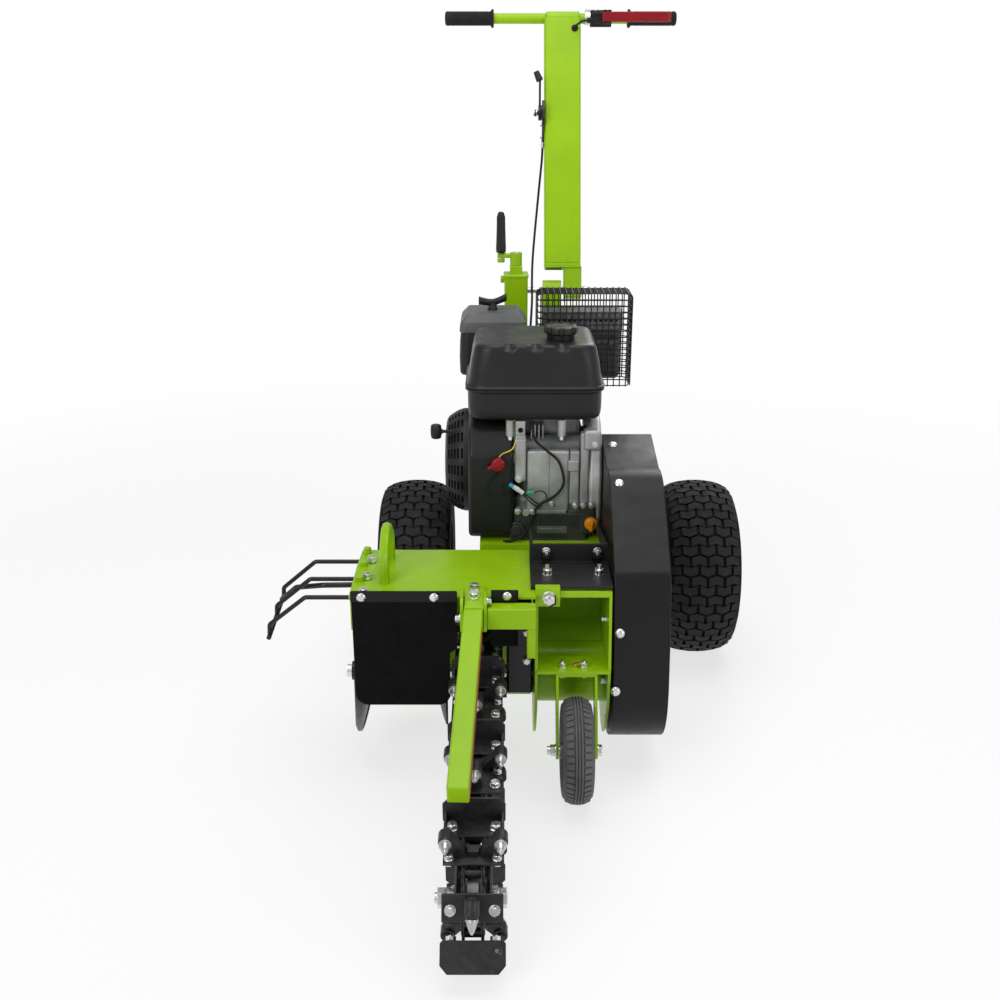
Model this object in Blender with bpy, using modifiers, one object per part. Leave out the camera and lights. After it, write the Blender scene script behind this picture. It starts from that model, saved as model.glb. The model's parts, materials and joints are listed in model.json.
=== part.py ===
"""Petrol trencher: a walk-behind machine with a digging chain on a front boom, a spoil auger, an
engine over two turf tyres and a jockey wheel, and a folding T handle with a depth crank.

The frame is the part's own: the ground is Z = 0, the digging chain points to -Y, and the box of the
whole machine is centred on X and Y. Sizes are written in millimetres and turned into metres by the
builders below.
"""

import math

import bmesh
import bpy
from mathutils import Matrix, Vector

MM = 0.001
# The drawing's origin, which is near the engine's middle, from the middle of the whole machine's box
DRAWN_X, DRAWN_Y = -23.53, -2.17
GAP = 0.3  # between pieces that touch
RUN_GAP = 0.6  # between pieces that turn or slide on each other

# Ground wheels
AXLE_Y, AXLE_Z = 288.0, 203.0
TYRE_R, TYRE_W = 203.0, 180.0
RIM_R, RIM_W = 101.0, 150.0
LEFT_WHEEL_X, RIGHT_WHEEL_X = -220.5, 431.5
AXLE_R = 12.5

# Jockey wheel
JOCKEY_X, JOCKEY_Y, JOCKEY_Z = 117.0, -361.0, 101.0
JOCKEY_R, JOCKEY_W = 101.0, 58.0
JOCKEY_RIM_R = 58.0
JOCKEY_BOLT_R = 8.0
SHELF_Z = 239.0  # underside of the fork box's shelf, which the fork bolts to

# Drive shaft across the front, and the boom on it
DRIVE_Y, DRIVE_Z = -192.0, 180.0
SHAFT_R = 12.5
BOOM_X = -68.5
BOOM_SLOPE = math.radians(6.4)
CHAIN_PITCH = 38.1
SPROCKET_TEETH = 8
RUN_LINKS = 16  # links in each straight run
PITCH_R = CHAIN_PITCH / (2 * math.sin(math.pi / SPROCKET_TEETH))
BOOM_LENGTH = RUN_LINKS * CHAIN_PITCH
LINKS = 2 * RUN_LINKS + SPROCKET_TEETH
NOSE_Y = DRIVE_Y - BOOM_LENGTH * math.cos(BOOM_SLOPE)
NOSE_Z = DRIVE_Z - BOOM_LENGTH * math.sin(BOOM_SLOPE)
ROLLER_R = 8.0
PLATE_H = 26.0  # height of a chain side plate
BASE_LOW = 8.6  # underside of a bracket, from the pitch line
PLATE_X = (13.0, 17.0)  # a side plate's inner and outer face, from the boom's middle
CUP_W = 100.0
CUP_REACH = 60.0  # from the pitch line to the cup's edge
WING_AT = (3.3, 8.4, 13.7, 19.0, 24.0, 29.0, 33.8, 38.6)
TOOTH_AT = (1.4, 6.2, 11.2, 17.3, 22.0, 27.0, 31.9, 36.7)
PICKS_AFTER = 1.7  # links from a wing to its bracket with two picks

# Auger and its housing
DECK_FRONT = -315.0
FLAP_Y = -319.8
AUGER_R, AUGER_HUB_R = 120.0, 19.0
AUGER_PHASE = 0.07  # radians past straight down at the blade's left end
AUGER_X0, AUGER_X1 = -322.0, -134.0

# Belt drive on the right
CRANK_Y, CRANK_Z = 178.0, 503.0
ENGINE_PULLEY_R, DRIVEN_PULLEY_R = 42.0, 120.0
PULLEY_X0, PULLEY_X1 = 222.0, 256.0
GUARD_X0, GUARD_X1 = 186.5, 292.5
GUARD_WALL = 3.0

# Handle
FOLD_Y, FOLD_Z = 663.0, 790.0
MAST_X, MAST_W, MAST_D = 128.0, 90.0, 46.0
BAR_Y, BAR_Z, BAR_R = 889.5, 1429.0, 12.5
MAST_LEAN = math.atan2(BAR_Y - FOLD_Y, BAR_Z - FOLD_Z)
MAST_LENGTH = math.hypot(BAR_Y - FOLD_Y, BAR_Z - FOLD_Z)  # fold pin to bar
BAR_X0, BAR_X1 = -163.0, 409.0
STOP_NUT = (188.0, -40.0, -6.0)  # end of the stop cable's nut: its X, and its Y and Z from the bar
STOP_EXIT_X = 158.0  # where the stop cable goes into the mast's front
THROTTLE_UP, THROTTLE_OUT = 435.0, 24.0  # from the fold pin up the mast, and forward of its middle
GRIP_LENGTH, GRIP_R = 122.0, 17.5

# Depth jack
JACK_X, JACK_Y = 12.5, 673.0
JACK_W, JACK_TOP, JACK_FOOT = 58.0, 831.0, 470.0
CRANK_ARM_X = -25.0

# Carriage of the ground wheels
PIVOT_Y, PIVOT_Z, PIVOT_R = 38.0, 262.0, 12.0

# Engine
MOUNT_Z = 399.6
ENGINE_FRONT, ENGINE_BASE = 29.0, 368.0
TANK_X0, TANK_X1, TANK_Y0, TANK_Y1 = -99.0, 187.5, 29.0, 262.0
TANK_BOTTOM, TANK_LOWER_H, TANK_UPPER_H = 631.0, 66.0, 90.0
TANK_SEAM = TANK_BOTTOM + TANK_LOWER_H
TANK_TOP = TANK_SEAM + TANK_UPPER_H
CAP = (98.0, 110.0)
RECOIL_NECK_X = -126.0  # where the pull handle's neck meets the recoil cover
CAGE_BAR, CAGE_PITCH, CAGE_EDGE = 4.0, 54.0, 8.0

# Cables
THROTTLE_CABLE_R, STOP_CABLE_R = 3.2, 2.5

PAINTS = {
    "green": (0.29, 0.53, 0.006, 0.0, 0.35),
    "black": (0.012, 0.012, 0.013, 0.0, 0.42),
    "rubber": (0.016, 0.016, 0.017, 0.0, 0.8),
    "engine_plastic": (0.016, 0.016, 0.018, 0.0, 0.55),
    "tank_paint": (0.03, 0.03, 0.032, 0.0, 0.4),
    "cast": (0.33, 0.34, 0.35, 1.0, 0.5),
    "steel": (0.6, 0.6, 0.6, 1.0, 0.3),
    "dark_steel": (0.05, 0.05, 0.055, 0.9, 0.45),
    "red": (0.5, 0.008, 0.02, 0.0, 0.35),
    "orange": (0.75, 0.25, 0.01, 0.0, 0.45),
}


def new_collection(name, parent):
    made = bpy.data.collections.new(name)
    parent.children.link(made)
    return made


def clear_scene():
    for obj in list(bpy.data.objects):
        bpy.data.objects.remove(obj, do_unlink=True)


clear_scene()
PARTS = new_collection("petrol_trencher", bpy.context.scene.collection)
CUTTERS = new_collection("cutters", bpy.context.scene.collection)
CUTTERS.hide_render = True


def material(name, paint):
    red, green, blue, metallic, roughness = PAINTS[paint]
    made = bpy.data.materials.new(name)
    made.use_nodes = True
    shader = made.node_tree.nodes["Principled BSDF"]
    shader.inputs["Base Color"].default_value = (red, green, blue, 1.0)
    shader.inputs["Metallic"].default_value = metallic
    shader.inputs["Roughness"].default_value = roughness
    return made


def object_of(bm, smooth=False):
    """A mesh object with outward faces, kept among the cutters until a node takes it."""
    bmesh.ops.recalc_face_normals(bm, faces=bm.faces)
    if bm.calc_volume(signed=True) < 0:
        bmesh.ops.reverse_faces(bm, faces=bm.faces)
    mesh = bpy.data.meshes.new("piece")
    bm.to_mesh(mesh)
    bm.free()
    for face in mesh.polygons:
        face.use_smooth = smooth
    made = bpy.data.objects.new("piece", mesh)
    CUTTERS.objects.link(made)
    made.hide_render = True
    made.display_type = "WIRE"
    return made


def box(x0, x1, y0, y1, z0, z1, bevel=0.0, segments=1):
    bm = bmesh.new()
    bmesh.ops.create_cube(bm, size=1.0)
    size = Vector((x1 - x0, y1 - y0, z1 - z0)) * MM
    middle = Vector((x0 + x1, y0 + y1, z0 + z1)) * MM / 2
    for vert in bm.verts:
        vert.co = Vector(a * b for a, b in zip(vert.co, size)) + middle
    made = object_of(bm)
    if bevel:
        soften(made, bevel, segments)
    return made


def soften(obj, width, segments=1):
    bevel = obj.modifiers.new("Bevel", "BEVEL")
    bevel.width = width * MM
    bevel.segments = segments
    bevel.limit_method = "ANGLE"
    bevel.angle_limit = math.radians(35)
    return obj


AXES = {
    "X": (Vector((0, 1, 0)), Vector((0, 0, 1)), Vector((1, 0, 0))),
    "Y": (Vector((0, 0, 1)), Vector((1, 0, 0)), Vector((0, 1, 0))),
    "Z": (Vector((1, 0, 0)), Vector((0, 1, 0)), Vector((0, 0, 1))),
}


def prism(axis, outline, start, end, bevel=0.0, segments=1):
    """A polygon pushed along an axis. X takes (y, z) pairs, Y takes (x, z) pairs, Z takes (x, y) pairs."""
    place = {
        "X": lambda a, b, t: Vector((t, a, b)),
        "Y": lambda a, b, t: Vector((a, t, b)),
        "Z": lambda a, b, t: Vector((a, b, t)),
    }[axis]
    bm = bmesh.new()
    near = [bm.verts.new(place(a, b, start) * MM) for a, b in outline]
    far = [bm.verts.new(place(a, b, end) * MM) for a, b in outline]
    bm.faces.new(near)
    bm.faces.new(far)
    for i in range(len(outline)):
        j = (i + 1) % len(outline)
        bm.faces.new((near[i], near[j], far[j], far[i]))
    made = object_of(bm)
    if bevel:
        soften(made, bevel, segments)
    return made


def arc(cx, cy, radius, start, end, count):
    """Points on an arc, with the angles in degrees."""
    steps = [math.radians(start + (end - start) * i / count) for i in range(count + 1)]
    return [(cx + radius * math.cos(a), cy + radius * math.sin(a)) for a in steps]


def spokes(side, up, count):
    """Unit vectors evenly round a turn, from side towards up."""
    angles = [2 * math.pi * i / count for i in range(count)]
    return [side * math.cos(a) + up * math.sin(a) for a in angles]


def lathe(axis, profile, centre, steps=20):
    """A solid turned about an axis through centre. The profile is (radius, place along the axis)."""
    side, up, along = AXES[axis]
    bm = bmesh.new()
    rings = []
    for radius, t in profile:
        middle = Vector(centre) + along * t
        if radius < 1e-6:
            rings.append([bm.verts.new(middle * MM)])
            continue
        rings.append([bm.verts.new((middle + spoke * radius) * MM) for spoke in spokes(side, up, steps)])
    for a, b in zip(rings, rings[1:]):
        for i in range(steps):
            j = (i + 1) % steps
            corners = [a[i % len(a)], a[j % len(a)], b[j % len(b)], b[i % len(b)]]
            bm.faces.new(list(dict.fromkeys(corners)))
    for ring in (rings[0], rings[-1]):
        if len(ring) > 1:
            bm.faces.new(ring)
    return object_of(bm, smooth=True)


def turned(axis, profile, centre, steps=24):
    """A ring: the profile is a closed loop of (radius, place along the axis)."""
    side, up, along = AXES[axis]
    bm = bmesh.new()
    rings = [
        [bm.verts.new((Vector(centre) + spoke * r + along * t) * MM) for r, t in profile]
        for spoke in spokes(side, up, steps)
    ]
    for i in range(steps):
        a, b = rings[i], rings[(i + 1) % steps]
        for k in range(len(profile)):
            m = (k + 1) % len(profile)
            bm.faces.new((a[k], a[m], b[m], b[k]))
    return object_of(bm, smooth=True)


def rod(start, end, radius, sides=16, tip=None):
    """A round bar between two points; tip is its radius at the far end."""
    start, end = Vector(start) * MM, Vector(end) * MM
    bm = bmesh.new()
    bmesh.ops.create_cone(
        bm, cap_ends=True, segments=sides, radius1=radius * MM,
        radius2=(radius if tip is None else tip) * MM, depth=(end - start).length,
    )
    turn = Vector((0, 0, 1)).rotation_difference(end - start).to_matrix().to_4x4()
    bm.transform(Matrix.Translation((start + end) / 2) @ turn)
    return object_of(bm, smooth=True)


def hexagon(axis, centre, across, start, end):
    """A bolt head or nut by its size across the flats."""
    side, up, along = AXES[axis]
    radius = across / math.sqrt(3)
    bm = bmesh.new()
    rings = []
    for t in (start, end):
        middle = Vector(centre) + along * t
        rings.append([bm.verts.new((middle + spoke * radius) * MM) for spoke in spokes(side, up, 6)])
    bm.faces.new(rings[0])
    bm.faces.new(rings[1])
    for i in range(6):
        j = (i + 1) % 6
        bm.faces.new((rings[0][i], rings[0][j], rings[1][j], rings[1][i]))
    return object_of(bm)


def bent_rod(points, radius, bend=20.0, sides=1, closed=False):
    """A bar through the points, with each corner rounded to the bend radius."""
    corners = [Vector(p) for p in points]
    path = []
    count = len(corners)
    for i, here in enumerate(corners):
        if not closed and i in (0, count - 1):
            path.append(here)
            continue
        before, after = corners[i - 1], corners[(i + 1) % count]
        back, on = (before - here), (after - here)
        angle = back.angle(on)
        run = min(bend / math.tan(angle / 2), back.length * 0.49, on.length * 0.49)
        first, last = here + back.normalized() * run, here + on.normalized() * run
        for k in range(4):
            t = k / 3
            path.append(first * (1 - t) ** 2 + here * 2 * t * (1 - t) + last * t**2)
    return wire(path, radius, sides, closed)


def wire(path, radius, sides=2, closed=False):
    """A round wire along the points, from a bevelled curve that is made a closed mesh."""
    curve = bpy.data.curves.new("path", "CURVE")
    curve.dimensions = "3D"
    curve.bevel_depth = radius * MM
    curve.bevel_resolution = sides
    curve.use_fill_caps = True
    spline = curve.splines.new("POLY")
    spline.points.add(len(path) - 1)
    for point, place in zip(spline.points, path):
        point.co = (*(place * MM), 1.0)
    spline.use_cyclic_u = closed
    holder = bpy.data.objects.new("path", curve)
    CUTTERS.objects.link(holder)
    bpy.context.view_layer.update()
    graph = bpy.context.evaluated_depsgraph_get()
    mesh = bpy.data.meshes.new_from_object(holder.evaluated_get(graph))
    bpy.data.objects.remove(holder, do_unlink=True)
    bm = bmesh.new()
    bm.from_mesh(mesh)
    bpy.data.meshes.remove(mesh)
    bmesh.ops.remove_doubles(bm, verts=bm.verts, dist=1e-7)
    return object_of(bm, smooth=True)


def moved(obj, matrix):
    """The piece with a matrix put on its mesh."""
    obj.data.transform(matrix)
    return obj


def group(name, operands):
    made = new_collection(name, CUTTERS)
    for piece in operands:
        CUTTERS.objects.unlink(piece)
        made.objects.link(piece)
    return made


def boolean(obj, operation, operands, name):
    if not operands:
        return
    mod = obj.modifiers.new(operation.title(), "BOOLEAN")
    mod.operation = operation
    mod.solver = "EXACT"
    mod.operand_type = "COLLECTION"
    mod.collection = group(name, operands)


def node(name, paint, pieces, cuts=(), origin=(0, 0, 0)):
    """One solid of the machine: the first piece joined with the others, less the cuts."""
    base, *more = pieces
    CUTTERS.objects.unlink(base)
    PARTS.objects.link(base)
    base.name = name
    base.data.name = name
    base.hide_render = False
    base.display_type = "TEXTURED"
    base.data.materials.append(material(name, paint))
    place = Vector(origin) * MM
    base.data.transform(Matrix.Translation(-place))
    base.location = place
    boolean(base, "UNION", more, name + "_adds")
    boolean(base, "DIFFERENCE", list(cuts), name + "_cuts")
    return base


def inset(outline, depth):
    """The outline moved inwards by a depth, corner by corner. It runs counter-clockwise."""
    made = []
    count = len(outline)
    for i in range(count):
        before, here, after = (Vector(outline[(i + k) % count]) for k in (-1, 0, 1))
        first, second = (here - before).normalized(), (after - here).normalized()
        n1, n2 = Vector((-first.y, first.x)), Vector((-second.y, second.x))
        middle = (n1 + n2).normalized()
        made.append(tuple(here + middle * depth / max(middle.dot(n1), 0.3)))
    return made


def straight_matrix(start, end):
    """Takes a piece drawn from the origin along +Y to one that runs from start to end, with its top up."""
    along = (Vector(end) - Vector(start)).normalized()
    side = along.cross(Vector((0, 0, 1))).normalized()
    up = side.cross(along)
    turn = Matrix((side, along, up)).transposed().to_4x4()
    return Matrix.Translation(Vector(start) * MM) @ turn


# Frame, carriage and wheels


def main_frame():
    pieces = [box(-70, 183, 15, 330, 350, ENGINE_BASE - GAP)]
    for x0, x1, y0, y1 in ((10, 50, -46, 630), (130, 170, -98, 690)):
        pieces.append(box(x0, x1, y0, y1, 300, 352))
        hanger = arc(PIVOT_Y, PIVOT_Z, 20, 180, 360, 6)
        pieces.append(prism("X", [*hanger, (58, 304), (18, 304)], x0 + 12, x0 + 24))
    for x0, y0, y1 in ((45, -40, 0), (45, 470, 510), (45, 586, 626), (82, 640, 686)):
        pieces.append(box(x0, 135, y0, y1, 304, 348))
    pieces.append(rod((-26, PIVOT_Y, PIVOT_Z), (182, PIVOT_Y, PIVOT_Z), PIVOT_R, 16))
    lug = [(688, 345), *arc(FOLD_Y, FOLD_Z, 25, 0, 180, 10), (638, 345)]
    pieces.append(prism("X", lug, 79, 125))
    pieces.append(box(JACK_X + JACK_W / 2 + GAP, 81, 652, 690, 480, 560))
    cut = [rod((70, FOLD_Y, FOLD_Z), (134, FOLD_Y, FOLD_Z), 8 + GAP, 24)]
    node("main_frame", "green", pieces, cut)


def carriage():
    arm = [
        (PIVOT_Y - 20, PIVOT_Z + 6), (PIVOT_Y - 20, PIVOT_Z - 14), (PIVOT_Y, PIVOT_Z - 26),
        (AXLE_Y - 26, AXLE_Z - 26), (AXLE_Y + 26, AXLE_Z - 26), (700, 236), (700, 272),
        (AXLE_Y + 30, AXLE_Z + 56), (PIVOT_Y + 6, PIVOT_Z + 20), (PIVOT_Y - 8, PIVOT_Z + 20),
    ]
    pieces = [prism("X", arm, x, x + 12) for x in (-20, 165)]
    pieces.append(rod((-95, AXLE_Y, AXLE_Z), (306, AXLE_Y, AXLE_Z), 22, 16))
    pieces.append(box(-12, 170, 664, 696, 238, 268))
    pieces += [box(JACK_X + s * 21 - 4, JACK_X + s * 21 + 4, 655, 694, 240, 306) for s in (-1, 1)]
    cuts = [rod((-30, PIVOT_Y, PIVOT_Z), (190, PIVOT_Y, PIVOT_Z), PIVOT_R + RUN_GAP, 16),
            rod((-120, AXLE_Y, AXLE_Z), (330, AXLE_Y, AXLE_Z), AXLE_R + GAP, 16)]
    node("carriage", "green", pieces, cuts, (0, PIVOT_Y, PIVOT_Z))
    axle = [rod((LEFT_WHEEL_X - 78, AXLE_Y, AXLE_Z), (RIGHT_WHEEL_X + 78, AXLE_Y, AXLE_Z), AXLE_R, 16)]
    for x, side in ((LEFT_WHEEL_X, -1), (RIGHT_WHEEL_X, 1)):
        for offset in (-62, 50):
            start, end = sorted((x + side * offset, x + side * (offset + 12)))
            axle.append(rod((start, AXLE_Y, AXLE_Z), (end, AXLE_Y, AXLE_Z), 19, 16))
    node("axle", "steel", axle, origin=(0, AXLE_Y, AXLE_Z))


def tyre_profile(radius, width, rim, crown):
    """A closed tyre section: bead, rounded side wall and a tread that is slightly crowned."""
    half, wall = width / 2, radius - rim
    outer = [
        (rim + GAP, -half * 0.72), (rim + wall * 0.22, -half * 0.9), (rim + wall * 0.5, -half),
        (radius - wall * 0.22, -half * 0.97), (radius - crown * 1.6, -half * 0.86),
        (radius - crown * 0.5, -half * 0.5), (radius, -half * 0.16),
    ]
    outer += [(r, -t) for r, t in reversed(outer)]
    return outer


def wheels():
    for name, x in (("left", LEFT_WHEEL_X), ("right", RIGHT_WHEEL_X)):
        centre = (x, AXLE_Y, AXLE_Z)
        out = 1 if name == "right" else -1
        node(f"{name}_tyre", "rubber", [turned("X", tyre_profile(TYRE_R, TYRE_W, RIM_R, 9), centre, 28)],
             origin=centre)
        disc = [
            (AXLE_R + RUN_GAP, -48), (26, -48), (26, 4 * out - 4), (85, 12 * out - 4), (91, -62), (RIM_R, -66),
            (RIM_R, 66), (91, 62), (85, 12 * out + 4), (26, 4 * out + 4), (26, 48), (AXLE_R + RUN_GAP, 48),
        ]
        node(f"{name}_rim", "green", [turned("X", disc, centre, 28)], origin=centre)


def jockey():
    x, y, z = JOCKEY_X, JOCKEY_Y, JOCKEY_Z
    centre = (x, y, z)
    tread = [
        (JOCKEY_RIM_R + GAP, -20), (72, -27), (86, -JOCKEY_W / 2), (94, -25), (100, -13), (JOCKEY_R, 0),
        (100, 13), (94, 25), (86, JOCKEY_W / 2), (72, 27), (JOCKEY_RIM_R + GAP, 20),
    ]
    node("jockey_tyre", "rubber", [turned("X", tread, centre, 20)], origin=centre)
    rim = [
        (JOCKEY_BOLT_R + RUN_GAP, -31), (15, -31), (15, -6), (50, -6), (JOCKEY_RIM_R, -21),
        (JOCKEY_RIM_R, 21), (50, 6), (15, 6), (15, 31), (JOCKEY_BOLT_R + RUN_GAP, 31),
    ]
    node("jockey_rim", "cast", [turned("X", rim, centre, 20)], origin=centre)
    fork = []
    for side in (-1, 1):
        inner = x + side * 34
        leg = [(-318, 238), (-264, 238), *arc(y, z, 17, 0, -180, 8)]
        fork.append(prism("X", leg, *sorted((inner, inner + side * 5))))
    fork.append(box(x - 38.5, x + 38.5, -318, -262, 233, SHELF_Z - GAP))
    for dx in (-20.5, 20.5):
        fork.append(hexagon("Z", (x + dx - 6, -300, 0), 13, 224, 234))
    cut = [rod((x - 50, y, z), (x + 50, y, z), JOCKEY_BOLT_R + GAP, 24)]
    node("jockey_fork", "green", fork, cut)
    bolt = [
        rod((x - 56, y, z), (x + 41, y, z), JOCKEY_BOLT_R, 24),
        hexagon("X", centre, 19, -51, -40), hexagon("X", centre, 19, 39.5, 48),
    ]
    node("jockey_axle", "steel", bolt)


def fork_box():
    plate = [
        (-287, 395), (-298, 330), (-312, 245), (-304, 160), (-262, 92), (-228, 62), (-190, 62),
        (-150, 88), (-112, 160), (-99, 240), (-99, 395),
    ]
    pieces = [prism("X", plate, x, x + 5.5) for x in (38.5, 176.5)]
    pieces.append(box(42, 178, -319, -255, SHELF_Z, SHELF_Z + 6))
    pieces.append(rod((42, DRIVE_Y, DRIVE_Z), (178, DRIVE_Y, DRIVE_Z), 60, 24))
    pieces.append(box(42, 178, -108, -99.5, 240, 395))
    pieces.append(box(42, 178, -140, -100, 388, 395))
    bore = rod((20, DRIVE_Y, DRIVE_Z), (200, DRIVE_Y, DRIVE_Z), SHAFT_R + RUN_GAP, 16)
    node("fork_box", "green", pieces, [bore])


def auger_housing():
    deck = [
        (DECK_FRONT, 397), (-175, 399), (-70, 390), (-56, 378), (-48, 230), (-52, 120), (-78, 62), (-81, 66),
        (-56, 122), (-52, 230), (-60, 374), (-74, 385), (-175, 394.5), (DECK_FRONT, 392.5),
    ]
    pieces = [prism("X", deck, -300, 38.2)]
    flange = [(DECK_FRONT - 2, 398), (-175, 400.5), (-78, 393), (-78, 388), (-175, 393), (DECK_FRONT - 2, 392)]
    pieces.append(prism("X", flange, -306, -286))
    lip = [(DECK_FRONT + 1, 396), (DECK_FRONT + 1, 330), (-60, 330), (-60, 382), (-175, 397)]
    pieces.append(prism("X", lip, -304, -299.5))
    for y in (-104, -176, -248):
        pieces.append(hexagon("Z", (-293, y, 0), 13, 394, 409))
    loop = [(-245, -252, 394.5), (-245, -252, 455), (-245, -190, 492), (-245, -128, 455), (-245, -128, 392)]
    pieces.append(bent_rod(loop, 9.5, 50, 2))
    node("auger_housing", "green", pieces)


def flaps():
    front = [(-300, 391.5), (-300, 196), (-280, 176), (-138, 176), (-121, 194), (-121, 285), (-107, 296),
             (-107, 391.5)]
    flap = node("front_flap", "rubber", [prism("Y", front, FLAP_Y - 2.4, FLAP_Y + 2.4)])
    for x in (-286, -150):
        boolean(flap, "UNION", [hexagon("Y", (x, FLAP_Y, 379), 11, -7, 0)], f"front_flap_screw{x}")
    node("small_flap", "rubber", [box(-44, 6, FLAP_Y - 2.4, FLAP_Y + 2.4, 300, 391.5)])


def spoil_guard():
    pieces = []
    lower = []
    for y, run, out in ((-115, 382, -464), (-185, 380, -466.5), (-255, 376, -469)):
        path = [(-310, y, 404), (-398, y, run), (out, y, run - 60), (out - 1, y, run - 84)]
        pieces.append(bent_rod(path, 4.5, 16))
        lower.append((out - 0.5, y, run - 78))
    start, end = Vector(lower[0]), Vector(lower[-1])
    reach = (end - start).normalized() * 12
    pieces.append(rod(start - reach, end + reach, 4.6, 14))
    for y in (-104, -176, -248):
        pieces.append(prism("Z", [(-326, y - 12), (-322, y + 9), (-306.5, y + 9), (-306.5, y - 12)], 401, 407))
    node("spoil_guard", "black", pieces)


# Digging boom


def chain_place(link):
    """A matrix from a piece drawn at the origin, with travel along -Y and out along +Z, to its place
    on the chain's loop. link counts from where the chain leaves the drive sprocket at the top."""
    run, turn = RUN_LINKS, SPROCKET_TEETH / 2
    link %= LINKS
    if link < run:
        angle, centre, slide = 0.0, (DRIVE_Y, DRIVE_Z), link
    elif link < run + turn:
        angle, centre, slide = (link - run) / turn * math.pi, (NOSE_Y, NOSE_Z), 0.0
    elif link < 2 * run + turn:
        angle, centre, slide = math.pi, (NOSE_Y, NOSE_Z), link - run - turn
    else:
        angle, centre, slide = math.pi * (1 + (link - 2 * run - turn) / turn), (DRIVE_Y, DRIVE_Z), 0.0
    turned_by = Matrix.Rotation(BOOM_SLOPE + angle, 4, "X")
    place = Matrix.Translation(Vector((BOOM_X, *centre)) * MM) @ turned_by
    return place @ Matrix.Translation(Vector((0, -slide * CHAIN_PITCH, PITCH_R)) * MM)


def band_outline(side):
    """The outline of a row of side plates, along the outside (side 1) or the inside (side -1) of the loop."""
    outline = []
    for i in range(LINKS):
        place = chain_place(i) @ Vector((0, 0, side * PLATE_H / 2 * MM))
        outline.append((place.y / MM, place.z / MM))
    return outline


def band(x0, x1):
    """One row of side plates as a scalloped ring round the boom."""
    outer, inner = band_outline(1), band_outline(-1)
    bm = bmesh.new()
    rings = [
        [bm.verts.new(Vector((BOOM_X + x, y, z)) * MM) for y, z in outline]
        for x, outline in ((x0, outer), (x1, outer), (x1, inner), (x0, inner))
    ]
    for a, b in zip(rings, rings[1:] + rings[:1]):
        for i in range(len(a)):
            j = (i + 1) % len(a)
            bm.faces.new((a[i], a[j], b[j], b[i]))
    return object_of(bm)


def wing():
    """A wide cup plate across the chain: a base with two bolts and an upright edge with cut corners."""
    half = CUP_W / 2
    edge = [(-half, 10), (half, 10), (half, CUP_REACH - 10), (half - 10, CUP_REACH),
            (10 - half, CUP_REACH), (-half, CUP_REACH - 10)]
    return [prism("Y", edge, 12, 17), box(-half, half, -26, 13, BASE_LOW, 16)]


def pick(x, y, z, aim):
    """A round boss with a carbide tip, aimed along a direction."""
    start, aim = Vector((x, y, z)), Vector(aim).normalized()
    boss = start + aim * 26
    return [rod(start, boss, 11, 8, 10), rod(boss - aim * 2, boss + aim * 20, 7, 6, 1.5)]


def pick_pair():
    """A bracket whose two arms hold a pick each, out to the sides."""
    pieces = [box(-46, 46, -22, 20, BASE_LOW, 16)]
    for side in (-1, 1):
        arm = [(side * 8, 13), (side * 26, 13), (side * 50, 38), (side * 38, 50)]
        pieces.append(prism("Y", arm, -6, 12))
        pieces += pick(side * 42, 14, 42, (0, -1, 0.35))
    return pieces


def middle_pick():
    pieces = [box(-46, 46, -20, 22, BASE_LOW, 16), box(-11, 11, -8, 16, 14, 36)]
    return pieces + pick(0, 16, 42, (0, -1, 0.35))


def digging_chain():
    pieces = [band(-PLATE_X[1], -PLATE_X[0]), band(*PLATE_X)]
    for i in range(LINKS):
        pin = rod((-PLATE_X[0] - 2, 0, 0), (PLATE_X[0] + 2, 0, 0), ROLLER_R, 6)
        pieces.append(moved(pin, chain_place(i) @ Matrix.Rotation(math.radians(30), 4, "X")))
    drawn = [(at, wing) for at in WING_AT] + [(at + PICKS_AFTER, pick_pair) for at in WING_AT]
    drawn += [(at, middle_pick) for at in TOOTH_AT]
    for at, draw in drawn:
        for piece in draw():
            pieces.append(moved(piece, chain_place(at)))
    node("digging_chain", "dark_steel", pieces)


def boom():
    """The bar inside the chain, its nose roller and the bolt that carries it."""
    slope = Matrix.Rotation(BOOM_SLOPE, 4, "X")
    frame = Matrix.Translation(Vector((BOOM_X, DRIVE_Y, DRIVE_Z)) * MM) @ slope
    reach = BOOM_LENGTH
    rail = PITCH_R - ROLLER_R - GAP
    bar = [
        box(-9, 9, -reach + 62, -64, -rail, rail, 2),
        *(box(side * 25 - 4, side * 25 + 4, -reach - 22, -58, -24, 24, 3) for side in (-1, 1)),
        box(-27, 27, -reach + 66, -reach + 82, -22, 22),
        box(-27, 27, -92, -68, -22, 22),
        box(-27, 27, -190, -170, -22, 22),
        box(23, -14 - GAP - BOOM_X, -66, -51, -19, 19),
    ]
    hole = rod((-40, -reach, 0), (40, -reach, 0), 8 + GAP, 24)
    node("boom_bar", "black", [moved(p, frame) for p in bar], [moved(hole, frame)])
    nose = (BOOM_X, NOSE_Y, NOSE_Z)
    rim = PITCH_R - ROLLER_R - RUN_GAP
    roller = [
        (8 + RUN_GAP, -19), (30, -19), (30, -11.5), (rim, -11.5), (rim, 11.5), (30, 11.5), (30, 19),
        (8 + RUN_GAP, 19),
    ]
    node("nose_roller", "steel", [turned("X", roller, nose)], origin=nose)
    bolt = [rod((BOOM_X - 52, NOSE_Y, NOSE_Z), (BOOM_X + 40, NOSE_Y, NOSE_Z), 8, 24),
            hexagon("X", nose, 27, -47, -29.5), hexagon("X", nose, 27, 29.5, 45)]
    node("nose_axle", "steel", bolt)


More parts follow.
